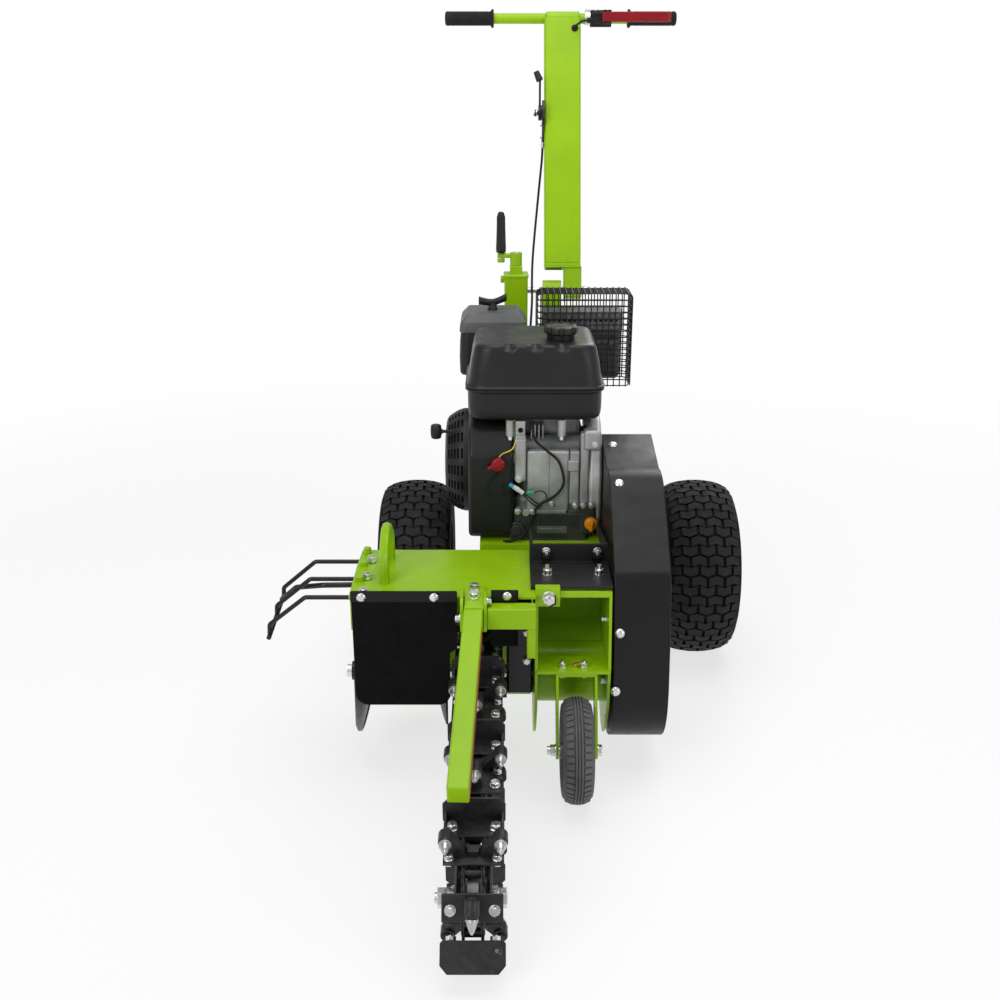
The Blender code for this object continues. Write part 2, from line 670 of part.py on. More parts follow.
def safety_bar():
    start, end = (-75, -318, 363), (-92, -754, 266)
    place = straight_matrix(start, end)
    length = (Vector(end) - Vector(start)).length
    tube = moved(box(-17.5, 17.5, 0, length, -17.5, 17.5, 4), place)
    bolts = [moved(hexagon("Z", (0, y, 0), 13, 16, 25), place) for y in (14, 42)]
    node("safety_bar", "green", [tube, *bolts])
    cheek = [(-315.4, 398), (-315.4, 328), (-359, 326), (-359, 394)]
    pieces = [prism("X", cheek, -100, -94.4), prism("X", cheek, -57.1, -51)]
    pieces.append(box(-99, -51, -358, -318, 323, 330))
    pieces += [box(-52, 38, -356, -322.6, 340, 380, 2), box(24, 37, -356, -322.6, 260, 346)]
    node("bar_bracket", "green", pieces)


def auger():
    bm = bmesh.new()
    steps = 32
    half = 2.0
    sections = []
    for i in range(steps + 1):
        t = i / steps
        angle = 2 * math.pi * t + AUGER_PHASE
        x = AUGER_X0 + half + (AUGER_X1 - AUGER_X0 - 2 * half) * t
        out = Vector((0, -math.sin(angle), -math.cos(angle)))
        centre = Vector((0, DRIVE_Y, DRIVE_Z))
        sections.append([
            bm.verts.new((centre + out * radius + Vector((x + offset, 0, 0))) * MM)
            for radius, offset in ((15, -half), (AUGER_R, -half), (AUGER_R, half), (15, half))
        ])
    for a, b in zip(sections, sections[1:]):
        for k in range(4):
            m = (k + 1) % 4
            bm.faces.new((a[k], a[m], b[m], b[k]))
    bm.faces.new(sections[0])
    bm.faces.new(sections[-1])
    bmesh.ops.triangulate(bm, faces=bm.faces)
    blade = object_of(bm)
    bore = SHAFT_R + GAP
    hub = [(bore, AUGER_X0 - 4), (AUGER_HUB_R, AUGER_X0 - 4), (AUGER_HUB_R, AUGER_X1 + 6), (bore, AUGER_X1 + 6)]
    centre = (0, DRIVE_Y, DRIVE_Z)
    node("auger", "black", [turned("X", hub, centre, 16), blade], origin=centre)


def drive():
    """The shaft across the front with its sprocket and pulley, and the chain case round it."""
    centre = (0, DRIVE_Y, DRIVE_Z)
    ends = [rod((-332, DRIVE_Y, DRIVE_Z), (272, DRIVE_Y, DRIVE_Z), SHAFT_R, 24)]
    ends.append(hexagon("X", centre, 24, 258.6, 270))
    node("drive_shaft", "steel", ends, origin=centre)
    tip, root = PITCH_R - ROLLER_R - RUN_GAP, 32.0
    teeth = []
    for i in range(SPROCKET_TEETH):
        middle = 360 / SPROCKET_TEETH * i
        for radius, offset in ((root, -15), (tip, -6), (tip, 6), (root, 15)):
            angle = math.radians(middle + offset)
            teeth.append((DRIVE_Y + radius * math.cos(angle), DRIVE_Z + radius * math.sin(angle)))
    hub = rod((BOOM_X - 20, DRIVE_Y, DRIVE_Z), (BOOM_X + 20, DRIVE_Y, DRIVE_Z), 24, 16)
    bore = rod((BOOM_X - 30, DRIVE_Y, DRIVE_Z), (BOOM_X + 30, DRIVE_Y, DRIVE_Z), SHAFT_R + GAP, 16)
    node("drive_sprocket", "steel", [prism("X", teeth, BOOM_X - 6, BOOM_X + 6), hub], [bore], centre)
    case = [
        box(-14, 36, -262, -130, 165, 320, 4), box(-13, 35, -200, -95, 250, 340, 4),
        rod((-14.6, DRIVE_Y, DRIVE_Z), (37, DRIVE_Y, DRIVE_Z), 44, 20),
    ]
    bearing = [hexagon("Y", (x, -262, z), 13, -7, 1) for x, z in ((-2, 300), (24, 300), (24, 240))]
    bore = rod((-60, DRIVE_Y, DRIVE_Z), (60, DRIVE_Y, DRIVE_Z), SHAFT_R + RUN_GAP, 16)
    node("chain_case", "black", case + bearing, [bore])


def pulley(name, radius, centre, bore, paint):
    x0, x1 = PULLEY_X0 - centre[0], PULLEY_X1 - centre[0]
    profile = [
        (bore, x0), (radius, x0), (radius, x0 + 4), (radius - 13, x0 + 6), (radius - 13, x1 - 6),
        (radius, x1 - 4), (radius, x1), (bore, x1),
    ]
    node(name, paint, [turned("X", profile, centre)], origin=centre)


def belt_outline(shrink):
    """The loop of an open belt round both pulleys, as (y, z) pairs."""
    small, large = ENGINE_PULLEY_R - shrink, DRIVEN_PULLEY_R - shrink
    away = Vector((CRANK_Y - DRIVE_Y, CRANK_Z - DRIVE_Z))
    heading = math.degrees(math.atan2(away.y, away.x))
    tilt = math.degrees(math.acos((large - small) / away.length))
    loop = arc(CRANK_Y, CRANK_Z, small, heading - tilt, heading + tilt, 9)
    return loop + arc(DRIVE_Y, DRIVE_Z, large, heading + tilt, heading - tilt + 360, 18)


def belt_drive():
    pulley("driven_pulley", DRIVEN_PULLEY_R, (0, DRIVE_Y, DRIVE_Z), SHAFT_R + GAP, "cast")
    pulley("engine_pulley", ENGINE_PULLEY_R, (0, CRANK_Y, CRANK_Z), 12.5 + RUN_GAP, "cast")
    outer, inner = belt_outline(3), belt_outline(13 - RUN_GAP)
    x0, x1 = PULLEY_X0 + 7, PULLEY_X1 - 7
    belt = prism("X", outer, x0, x1)
    node("drive_belt", "rubber", [belt], [prism("X", inner, x0 - 5, x1 + 5)])


def guard_outline():
    """The belt guard from the side, counter-clockwise as (y, z) pairs."""
    return [
        (98, 585), *arc(-70, 455, 105, 75, 140, 5), *arc(-180, 358, 110, 140, 172, 3), (-306, 300), (-322, 190),
        *arc(-192, 172, 130, 190, 275, 7), (-72, 60), (228, 400), (258, 520), (228, 590),
    ]


def belt_guard():
    outline = guard_outline()
    shell = prism("X", outline, GUARD_X0, GUARD_X1)
    hollow = prism("X", inset(outline, GUARD_WALL), GUARD_X0 - 5, GUARD_X1 - GUARD_WALL)
    node("belt_guard", "black", [shell], [hollow])
    plate = inset(outline, GUARD_WALL + GAP)
    holes = [rod((160, DRIVE_Y, DRIVE_Z), (220, DRIVE_Y, DRIVE_Z), SHAFT_R + RUN_GAP, 16),
             rod((160, CRANK_Y, CRANK_Z), (220, CRANK_Y, CRANK_Z), 30, 24)]
    node("guard_back", "black", [prism("X", plate, GUARD_X0 + 0.5, GUARD_X0 + 3.5)], holes)


# Engine


def frustum(low, high, z0, z1, bevel=0.0, segments=3):
    """A block whose bottom is (x0, x1, y0, y1) at z0 and whose top is another such rectangle at z1."""
    bm = bmesh.new()
    rings = []
    for (x0, x1, y0, y1), z in ((low, z0), (high, z1)):
        corners = ((x0, y0), (x1, y0), (x1, y1), (x0, y1))
        rings.append([bm.verts.new(Vector((x, y, z)) * MM) for x, y in corners])
    bm.faces.new(rings[0])
    bm.faces.new(rings[1])
    for i in range(4):
        j = (i + 1) % 4
        bm.faces.new((rings[0][i], rings[0][j], rings[1][j], rings[1][i]))
    made = object_of(bm)
    if bevel:
        soften(made, bevel, segments)
    return made


def engine_block():
    """The crankcase with its cylinder and crankshaft, and the cover on its right side."""
    base = ENGINE_BASE
    block = [
        box(2, 157.5, 44, 300, base, 470, 14), box(6, 156, 50, 290, base, base + 12, 3),
        box(10, 150, 60, 280, 460, 590, 12), box(18, 140, 90, 416, 540, TANK_BOTTOM - GAP, 8),
        rod((20, CRANK_Y, CRANK_Z), (183, CRANK_Y, CRANK_Z), 74, 20),
        rod((180, CRANK_Y, CRANK_Z), (PULLEY_X1 + 2, CRANK_Y, CRANK_Z), 12.5, 24),
        hexagon("X", (0, CRANK_Y, CRANK_Z), 22, PULLEY_X1 + 1, PULLEY_X1 + 8),
    ]
    block += [box(14 + 26 * i, 20 + 26 * i, 300, 420, 520, 622) for i in range(3)]
    node("engine_block", "cast", block)
    cover = [
        (56, 392), (42, 420), (36, 503), (52, 576), (102, 612), (188, 627), (274, 614), (274, 400), (212, 380),
    ]
    side = prism("X", cover, 158, 185.6, 5)
    hole = rod((150, CRANK_Y, CRANK_Z), (200, CRANK_Y, CRANK_Z), 76, 20)
    node("side_cover", "cast", [side], [hole])


def dipstick():
    centre = (164.5, 44.8, 407)
    grip = [(0, -1), (8.4, -1), (8.4, -5), (14, -5), (14, -17), (12, -20), (0, -20)]
    bar = box(161.5, 167.5, 14, 27, 396, 418)
    node("dipstick", "orange", [lathe("Y", grip, centre, 24), bar], origin=centre)


def tank():
    x0, x1, y0, y1 = TANK_X0, TANK_X1, TANK_Y0, TANK_Y1
    low = (x0 + 12, x1 - 12, y0 + 12, y1 - 10)
    full = (x0 + 3, x1 - 3, y0 + 3, y1 - 3)
    top = (x0 + 22, x1 - 22, y0 + 14, y1 - 12)
    seam = TANK_SEAM
    lower = [frustum(low, full, TANK_BOTTOM, seam - 3, 16, 2), box(x0, x1, y0, y1, seam - 5, seam - GAP / 2, 1)]
    node("tank_lower", "tank_paint", lower)
    upper = [frustum(full, top, seam + 3, TANK_TOP, 12, 2), box(x0, x1, y0, y1, seam + GAP / 2, seam + 5, 1)]
    cap_x, cap_y = CAP
    upper.append(rod((cap_x, cap_y, TANK_TOP - 20), (cap_x, cap_y, TANK_TOP + 8), 24, 20))
    scoops = [rod((x, y0 - 4, TANK_TOP + 12), (x, y0 + 40, TANK_TOP + 4), 16, 12) for x in (-9, 43, 92)]
    node("tank_upper", "tank_paint", upper, scoops)
    z = TANK_TOP + 8 + GAP
    rim = [(0, z), (30, z), (30, z + 12), (36, z + 14), (36, z + 22), (30, z + 26), (0, z + 26)]
    notches = []
    for i in range(8):
        a = 2 * math.pi * (i + 0.5) / 8
        x, y = cap_x + 41 * math.cos(a), cap_y + 41 * math.sin(a)
        notches.append(rod((x, y, z + 8), (x, y, z + 40), 9, 12))
    node("fuel_cap", "black", [lathe("Z", rim, (cap_x, cap_y, 0))], notches, (cap_x, cap_y, z))


def blower():
    """The blower housing on the left of the engine, with its recoil starter and kill switch."""
    shroud = [(ENGINE_FRONT, 385), (ENGINE_FRONT, 560), (60, 610), (120, 627), (290, 627), (330, 600),
              (330, 430), (290, 372), (45, 372)]
    core = prism("X", shroud, -94, 2 - GAP, 10, 3)
    node("blower_housing", "engine_plastic", [core])
    centre = (-94 - GAP, CRANK_Y, CRANK_Z)
    dish = [(0, -52), (70, -52), (92, -46), (108, -30), (113, -8), (113, 0), (0, 0)]
    slots = []
    for ring_z in (-70, -35, 35, 70):
        for ring_y in (-50, 0, 50):
            if math.hypot(ring_y, ring_z) < 96:
                y, z = CRANK_Y + ring_y, CRANK_Z + ring_z
                slots.append(box(-160, -138, y - 18, y + 18, z - 6, z + 6))
    node("recoil_cover", "engine_plastic", [lathe("X", dish, centre, 24)], slots)
    pull = [(0, -14), (9, -14), (12, -6), (12, 6), (9, 14), (0, 14)]
    bar = lathe("Z", pull, (-163, 108, 588), 16)
    neck = rod((-160, 108, 588), (RECOIL_NECK_X, 108, 588), 4, 12)
    node("recoil_handle", "black", [bar, neck], origin=(-163, 108, 588))
    stop_centre = (-31, ENGINE_FRONT - GAP, 544)
    knob = [(0, 0), (7, 0), (7, -8), (14, -8), (14, -16), (10, -19), (0, -19)]
    node("kill_switch", "red", [lathe("Y", knob, stop_centre, 20), box(-34, -28, 2, 12, 532, 556, 1)],
         origin=stop_centre)


def air_filter():
    low, high = (-120, 34, 313, 462), (-106, 22, 325, 448)
    body = [frustum(low, low, 655, 700, 12), frustum(low, high, 690, 795, 12)]
    body.append(box(-70, 14 - GAP, 331, 410, 590, 665))
    node("air_filter", "engine_plastic", body)
    centre = (-44, 386, 795 + GAP)
    stem = [(0, 0), (12, 0), (10, 10), (8, 14), (0, 14)]
    wing_bar = bent_rod([(-74, 380, 816), (-44, 386, 812), (-14, 392, 822)], 7.5, 10, 3)
    node("filter_knob", "black", [lathe("Z", stem, centre, 20), wing_bar], origin=centre)


def muffler():
    can = box(74, 246, 436, 500, 618, 802, 14, 3)
    ribs = [box(82, 238, 497, 505, 640 + 24 * i, 650 + 24 * i) for i in range(6)]
    strap = box(76, 244, 427.3, 440, 706, 714)
    pipe = [rod((120, 416 + GAP, 605), (120, 446, 605), 14, 12), box(106, 134, 437, 447, 605, 630)]
    node("muffler", "dark_steel", [can, *ribs, strap, *pipe])


def cage_openings(start, end, low_edge, high_edge):
    """The openings between the cage's bars along one axis, as (low, high) pairs."""
    count = int((end - start) / CAGE_PITCH)
    step = (end - start) / count
    lows = [start + step * i + CAGE_BAR / 2 for i in range(count)]
    highs = [low + step - CAGE_BAR for low in lows]
    lows[0] += low_edge
    highs[-1] -= high_edge
    return list(zip(lows, highs))


def muffler_guard():
    """A cage of round wires, drawn here as slotted plates on the front, right and top."""
    x0, x1, y0, y1, z0, z1 = 57.0, 282.0, 424.0, 520.0, 604.0, 826.0
    wall, past = 3.0, 5.0
    shell = box(x0, x1, y0, y1, z0, z1)
    cuts = [box(x0 + wall, x1 - wall, y0 + wall, y1 - wall, z0 - 10, z1 - wall),
            box(101, 139, 415, 435, 580, 640)]
    rows = cage_openings(z0, z1, 0, CAGE_EDGE)
    depths = cage_openings(y0, y1, CAGE_EDGE, CAGE_EDGE)
    for left, right in cage_openings(x0, x1, CAGE_EDGE, CAGE_EDGE):
        cuts += [box(left, right, y0 - past, y1 + past, low, high) for low, high in rows]
        cuts += [box(left, right, near, far, z1 - 12, z1 + past) for near, far in depths]
    for near, far in depths:
        cuts += [box(x0 - past, x1 + past, near, far, low, high) for low, high in rows]
    node("muffler_guard", "dark_steel", [shell], cuts)


def engine_mount():
    """An angle plate on the fork box, with two gussets, four bolts and the belt's adjusting bolt."""
    pieces = [box(30, 183, -168, -162, MOUNT_Z, 442), box(30, 183, -285, -163, MOUNT_Z, MOUNT_Z + 6)]
    gusset = [(-165, MOUNT_Z + 1), (-165, 440), (-150, 440), (4, 412), (4, MOUNT_Z + 1)]
    pieces += [prism("X", gusset, x, x + 5) for x in (32, 176)]
    for x in (62.5, 161.5):
        pieces.append(hexagon("Y", (x, 0, 424), 16, -180, -166))
        pieces.append(hexagon("Z", (x, -228, 0), 16, MOUNT_Z + 5, MOUNT_Z + 15))
    pieces.append(box(55, 77, -300, -283, MOUNT_Z - 26, MOUNT_Z + 6))
    pieces.append(hexagon("Y", (66, 0, MOUNT_Z - 12), 20, -314, -299))
    node("engine_mount", "black", pieces)


# Handle and depth jack


def along_mast(distance, drop=0.0):
    """A point on the mast's middle line, by its distance up from the fold pin."""
    return (MAST_X, FOLD_Y + math.sin(MAST_LEAN) * distance - math.cos(MAST_LEAN) * drop,
            FOLD_Z + math.cos(MAST_LEAN) * distance + math.sin(MAST_LEAN) * drop)


def mast():
    start = Vector((MAST_X, FOLD_Y, FOLD_Z))
    lean = Matrix.Translation(start * MM) @ Matrix.Rotation(-MAST_LEAN, 4, "X")
    top = MAST_LENGTH
    half, depth = MAST_W / 2, MAST_D / 2
    tube = moved(box(-half, half, -depth, depth, 62, top - 4, 4), lean)
    collar = moved(box(-half, half, -depth, depth, 54, 66, 3), lean)
    leg = moved(box(3, half + 2, -depth, depth, -22, 58, 3), lean)
    inside = moved(box(-half + 4, 0, -depth + 4, depth - 4, 40, top - 40), lean)
    inside_right = moved(box(-1, half - 4, -depth + 4, depth - 4, 70, top - 40), lean)
    pin_hole = rod((120, FOLD_Y, FOLD_Z), (190, FOLD_Y, FOLD_Z), 8 + GAP, 24)
    bar = rod((BAR_X0, BAR_Y, BAR_Z), (BAR_X1, BAR_Y, BAR_Z), BAR_R, 20)
    saddle = rod((MAST_X - 40, BAR_Y, BAR_Z), (MAST_X + 40, BAR_Y, BAR_Z), BAR_R + 4, 20)
    origin = (MAST_X, FOLD_Y, FOLD_Z)
    node("mast", "green", [tube, collar, leg, saddle, bar], [inside, inside_right, pin_hole], origin)
    pin = [rod((JACK_X + JACK_W / 2 + GAP, FOLD_Y, FOLD_Z), (184, FOLD_Y, FOLD_Z), 8, 24),
           hexagon("X", (0, FOLD_Y, FOLD_Z), 20, 176.5, 187)]
    node("hinge_pin", "steel", pin)


def grips():
    for name, end, inward in (("left_grip", BAR_X0 - 2, 1), ("right_grip", BAR_X1 + 4, -1)):
        bore = BAR_R + GAP
        cap = 2.0 if inward == 1 else 4.0
        profile = [
            (0, 0), (GRIP_R - 3, 0), (GRIP_R, 3), (GRIP_R - 1, 12), (GRIP_R - 1, GRIP_LENGTH - 14),
            (GRIP_R, GRIP_LENGTH - 8), (22, GRIP_LENGTH - 6), (22, GRIP_LENGTH), (bore, GRIP_LENGTH),
            (bore, cap - GAP), (0, cap - GAP),
        ]
        loop = [(r, inward * t) for r, t in profile]
        node(name, "rubber", [lathe("X", loop, (end, BAR_Y, BAR_Z), 16)], origin=(end, BAR_Y, BAR_Z))


def levers():
    nut_y, nut_z = BAR_Y + STOP_NUT[1], BAR_Z + STOP_NUT[2]
    clamp = [rod((198, BAR_Y, BAR_Z), (250, BAR_Y, BAR_Z), 20, 20),
             box(206, 246, BAR_Y - 41, BAR_Y - 8, BAR_Z - 12, BAR_Z + 14, 3),
             box(204.6, 222, BAR_Y - 48, BAR_Y - 36.3, BAR_Z - 13.4, BAR_Z + 4.7),
             rod((STOP_NUT[0], nut_y, nut_z), (208, nut_y, nut_z), 6, 16)]
    hole = rod((180, BAR_Y, BAR_Z), (270, BAR_Y, BAR_Z), BAR_R + GAP, 20)
    y = BAR_Y - 44
    pivot = (236, y - 6, BAR_Z + 3)
    for z in (BAR_Z - 14, BAR_Z + 14.6):
        clamp.append(box(226, 246, y - 14, BAR_Y - 20, z, z + 3.4))
    clamp.append(rod((236, y - 6, BAR_Z - 13), (236, y - 6, BAR_Z + 17), 3.2, 12))
    node("lever_clamp", "black", clamp, [hole])
    blade = [
        (224, y - 14), (224, y + 1), (252, y + 1), (290, y - 4), (386, y - 4), (394, y - 12), (386, y - 18),
        (290, y - 18), (256, y - 16),
    ]
    lever = prism("Z", blade, BAR_Z - 10, BAR_Z + 14, 3)
    pin_hole = rod((236, y - 6, BAR_Z - 30), (236, y - 6, BAR_Z + 30), 3.2 + RUN_GAP, 12)
    node("safety_lever", "red", [lever], [pin_hole], pivot)


def throttle():
    """The throttle quadrant on the mast's left side, with its lever and the cable to the engine."""
    face = MAST_X - MAST_W / 2 - GAP
    _, y, z = along_mast(THROTTLE_UP, THROTTLE_OUT)
    centre = (face, y, z)
    base = [rod((face, y, z), (face - 6, y, z), 30, 20), box(face - 6, face, y - 14, y + 6, z - 70, z - 20, 2)]
    pin = rod((face - 4, y, z), (face - 20, y, z), 6, 20)
    node("throttle_base", "dark_steel", [*base, pin, hexagon("X", (0, y, z), 16, face - 25, face - 19)])
    lever_x = face - 6.5 - RUN_GAP
    arm = [
        rod((lever_x, y, z), (lever_x - 8, y, z), 18, 24),
        moved(box(lever_x - 7, lever_x - 2, -7, 7, 5, 78, 1), Matrix.Translation(Vector((0, y, z)) * MM)
              @ Matrix.Rotation(-0.12, 4, "X")),
        rod((lever_x - 5, y + 8, z + 76), (lever_x - 14, y + 14, z + 96), 9, 16, 7),
    ]
    hole = rod((lever_x + 20, y, z), (lever_x - 40, y, z), 6 + RUN_GAP, 24)
    node("throttle_lever", "black", arm, [hole], (lever_x, y, z))
    route = [
        (face - 4, y - 4, z - 70 - 2 * GAP), (face - 4, y - 5, z - 84), (face - 10, y - 18, z - 130),
        (face - 22, 760, 1060), (64, 730, 950), (58, 704, 860), (60, 640, 812), (56, 560, 770), (46, 480, 740),
        (42, 425, 712), (40, 396, 670), (40, 392, TANK_BOTTOM + 0.5),
    ]
    node("throttle_cable", "rubber", [wire(smooth_path(route, 5), THROTTLE_CABLE_R, 1)])
    end = Vector(along_mast(MAST_LENGTH - 33, MAST_D / 2 + GAP)) + Vector((STOP_EXIT_X - MAST_X, 0, 0))
    nut = Vector((STOP_NUT[0] - GAP, BAR_Y + STOP_NUT[1], BAR_Z + STOP_NUT[2]))
    out = Vector((0, -math.cos(MAST_LEAN), math.sin(MAST_LEAN)))
    stop = [nut + Vector((-2, 0, 0)), nut + Vector((-8, -2, 0)), nut + Vector((-19, -12, -5)), end + out * 8,
            end + out * 2]
    node("stop_cable", "rubber", [wire([nut, *smooth_path(stop, 2), end], STOP_CABLE_R, 1)])


def smooth_path(points, parts):
    """Points on a smooth curve through the given ones."""
    points = [Vector(p) for p in points]
    path = []
    for i in range(len(points) - 1):
        p0, p1, p2 = points[max(i - 1, 0)], points[i], points[i + 1]
        p3 = points[min(i + 2, len(points) - 1)]
        for k in range(parts):
            t = k / parts
            path.append(0.5 * ((2 * p1) + (p2 - p0) * t + (2 * p0 - 5 * p1 + 4 * p2 - p3) * t**2
                               + (3 * p1 - p0 - 3 * p2 + p3) * t**3))
    return [*path, points[-1]]


def jack():
    x, y, half = JACK_X, JACK_Y, JACK_W / 2
    outer = [box(x - half, x + half, y - half, y + half, JACK_FOOT, JACK_TOP, 3),
             box(x - half - 2, x + half + 2, y - half - 2, y + half + 2, JACK_TOP - 8, JACK_TOP, 2),
             box(x - 15.5, x + 15.5, y - 15.5, y + 15.5, JACK_TOP - 4, JACK_TOP + 20, 2),
             rod((-26, y, 816), (-10, y, 816), 9, 20)]
    bore = box(x - 25.5, x + 25.5, y - 25.5, y + 25.5, JACK_FOOT - 10, JACK_TOP - 20)
    node("jack_outer", "green", outer, [bore])
    top = JACK_TOP + 20 + RUN_GAP
    hub = [rod((x, y, top), (x, y, 882), 15, 28)]
    arm = box(CRANK_ARM_X - 9, x + 2, y - 7, y + 7, 869, 880, 3)
    stud = rod((CRANK_ARM_X, y, 860), (CRANK_ARM_X, y, 968), 5, 20)
    nut = hexagon("Z", (CRANK_ARM_X, y, 0), 16, 858, 871)
    node("crank_arm", "green", [*hub, arm, stud, nut], origin=(x, y, 862))
    grip_low = 880 + RUN_GAP
    bore = 5 + RUN_GAP
    grip = [(0, 90), (bore, 90), (bore, 0), (11, 0), (12.5, 10), (10, 90), (8, 98), (6, 100), (0, 100)]
    node("crank_grip", "black", [lathe("Z", grip, (CRANK_ARM_X, y, grip_low), 24)],
         origin=(CRANK_ARM_X, y, grip_low))
    slide = 25.5 - RUN_GAP
    inner = [box(x - slide, x + slide, y - slide, y + slide, 420, 720, 3),
             box(x - 15, x + 15, y - 12, y + 12, 273, 430, 2)]
    node("jack_inner", "steel", inner, origin=(x, y, 600))


def machine():
    main_frame()
    carriage()
    wheels()
    jockey()
    fork_box()
    auger_housing()
    flaps()
    spoil_guard()
    digging_chain()
    boom()
    safety_bar()
    auger()
    drive()
    belt_drive()
    belt_guard()
    engine_block()
    dipstick()
    tank()
    blower()
    air_filter()
    muffler()
    muffler_guard()
    engine_mount()
    mast()
    grips()
    levers()
    throttle()
    jack()
    for obj in (*PARTS.all_objects, *CUTTERS.all_objects):
        obj.location += Vector((DRAWN_X, DRAWN_Y, 0)) * MM


machine()
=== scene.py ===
"""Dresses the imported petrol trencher: a studio, finishes for every solid, and detailed pieces over them.

Places are written in the drawing's millimetres, as in the part's source, and spot() turns them into the
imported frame's metres.
"""

import json
import math

import bmesh
import bpy
from mathutils import Matrix, Vector


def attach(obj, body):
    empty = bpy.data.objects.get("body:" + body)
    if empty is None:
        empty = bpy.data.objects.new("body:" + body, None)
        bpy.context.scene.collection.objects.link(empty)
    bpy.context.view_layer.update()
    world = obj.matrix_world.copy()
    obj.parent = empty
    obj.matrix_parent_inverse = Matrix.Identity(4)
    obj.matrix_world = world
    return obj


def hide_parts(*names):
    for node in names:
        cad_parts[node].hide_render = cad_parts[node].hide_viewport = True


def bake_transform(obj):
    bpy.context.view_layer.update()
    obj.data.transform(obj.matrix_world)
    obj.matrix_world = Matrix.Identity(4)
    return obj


bl_info = {
    "name": "Petrol trencher",
    "version": (1, 0, 0),
    "blender": (4, 5, 0),
    "location": "View3D > Sidebar > Trencher",
    "description": "Builds the looks of a petrol trencher over its packed solids",
    "category": "Object",
}

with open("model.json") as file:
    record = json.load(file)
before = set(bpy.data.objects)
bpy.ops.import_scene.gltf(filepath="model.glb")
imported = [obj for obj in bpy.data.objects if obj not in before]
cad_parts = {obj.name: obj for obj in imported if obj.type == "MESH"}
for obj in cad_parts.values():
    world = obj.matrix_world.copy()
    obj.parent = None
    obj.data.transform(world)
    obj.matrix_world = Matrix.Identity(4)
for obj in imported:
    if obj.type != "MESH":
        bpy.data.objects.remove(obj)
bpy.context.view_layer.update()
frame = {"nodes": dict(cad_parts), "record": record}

MM = 0.001
MERGE = 2e-6  # vertices nearer than this are one
DRAWN = Vector((-23.53, -2.17, 0.0))  # from the drawing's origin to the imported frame's

# Places that pieces share: pairs are Y and Z, triples are X, Y and Z
AXLE = (288.0, 203.0)
WHEEL_R = AXLE[1]
LEFT_X, RIGHT_X = -220.5, 431.5
DRIVE = (-192.0, 180.0)
CRANK = (178.0, 503.0)
JOCKEY = (117.0, -361.0, 101.0)
BOOM_X, BOOM_SLOPE, PITCH, TEETH, RUN_LINKS = -68.5, math.radians(6.4), 38.1, 8, 16
PITCH_R = PITCH / (2 * math.sin(math.pi / TEETH))
LINKS = 2 * RUN_LINKS + TEETH
RUN = RUN_LINKS * PITCH
NOSE = (DRIVE[0] - RUN * math.cos(BOOM_SLOPE), DRIVE[1] - RUN * math.sin(BOOM_SLOPE))
CUP_AT = (3.3, 8.4, 13.7, 19.0, 24.0, 29.0, 33.8, 38.6)
PAIR_AT = tuple(at + 1.7 for at in CUP_AT)
SINGLE_AT = (1.4, 6.2, 11.2, 17.3, 22.0, 27.0, 31.9, 36.7)
FOLD = (663.0, 790.0)
MAST_X = 128.0
BAR = (889.5, 1429.0)
LEAN = math.atan2(BAR[0] - FOLD[0], BAR[1] - FOLD[1])
MAST_LENGTH = math.hypot(BAR[0] - FOLD[0], BAR[1] - FOLD[1])
TANK = (-99.0, 187.5, 29.0, 262.0, 697.0)  # its X and Y limits and the height of its seam
FILTER = (-120.0, 34.0, 313.0, 462.0)  # the air filter's X and Y limits
TANK_CAP = (98.0, 110.0)  # X and Y of its axis
CRANK_GRIP = (-25, 673)  # X and Y of its axis

CAMERA_PLACE, CAMERA_DOWN, CAMERA_LENS = (-0.05103, -2.29517, 1.307), math.radians(70), 42.48
FLOOR_GREY, FLOOR_GLOW, FLOOR_NEAR, FLOOR_FAR = 0.94, 0.72, 1.0, 3.4
SKY_COLOUR, SKY_STRENGTH, SKY_IN_GLOSS = (0.9, 0.93, 0.97, 1), 0.26, 0.4
LAMPS = (  # name, place, aim, side and power
    ("key_light", (-2.4, -3.4, 2.7), (0, -0.1, 0.6), 2.0, 74),
    ("fill_light", (2.9, -2.8, 1.7), (0, -0.1, 0.5), 1.8, 32),
    ("top_light", (0.1, -0.1, 3.7), (0, 0, 0.4), 3.0, 72),
    ("back_light", (1.4, 3.4, 2.6), (0, 0.3, 0.7), 2.0, 42),
)


class TrencherColours(bpy.types.PropertyGroup):
    green: bpy.props.FloatVectorProperty(
        name="Green", description="Paint of the frame, housings and handle", subtype="COLOR", size=3,
        min=0, max=1, default=(0.277, 0.49, 0.003))
    black: bpy.props.FloatVectorProperty(
        name="Black paint", description="Paint of the belt guard and brackets", subtype="COLOR", size=3,
        min=0, max=1, default=(0.0065, 0.0065, 0.0068))
    tank: bpy.props.FloatVectorProperty(
        name="Tank", description="Paint of the fuel tank", subtype="COLOR", size=3,
        min=0, max=1, default=(0.0115, 0.0115, 0.012))
    plastic: bpy.props.FloatVectorProperty(
        name="Plastic", description="Moulded engine covers", subtype="COLOR", size=3,
        min=0, max=1, default=(0.0105, 0.0105, 0.011))
    red: bpy.props.FloatVectorProperty(
        name="Red", description="Safety lever and engine switch", subtype="COLOR", size=3,
        min=0, max=1, default=(0.235, 0.004, 0.009))
    orange: bpy.props.FloatVectorProperty(
        name="Orange", description="Oil dipstick", subtype="COLOR", size=3,
        min=0, max=1, default=(0.78, 0.27, 0.01))


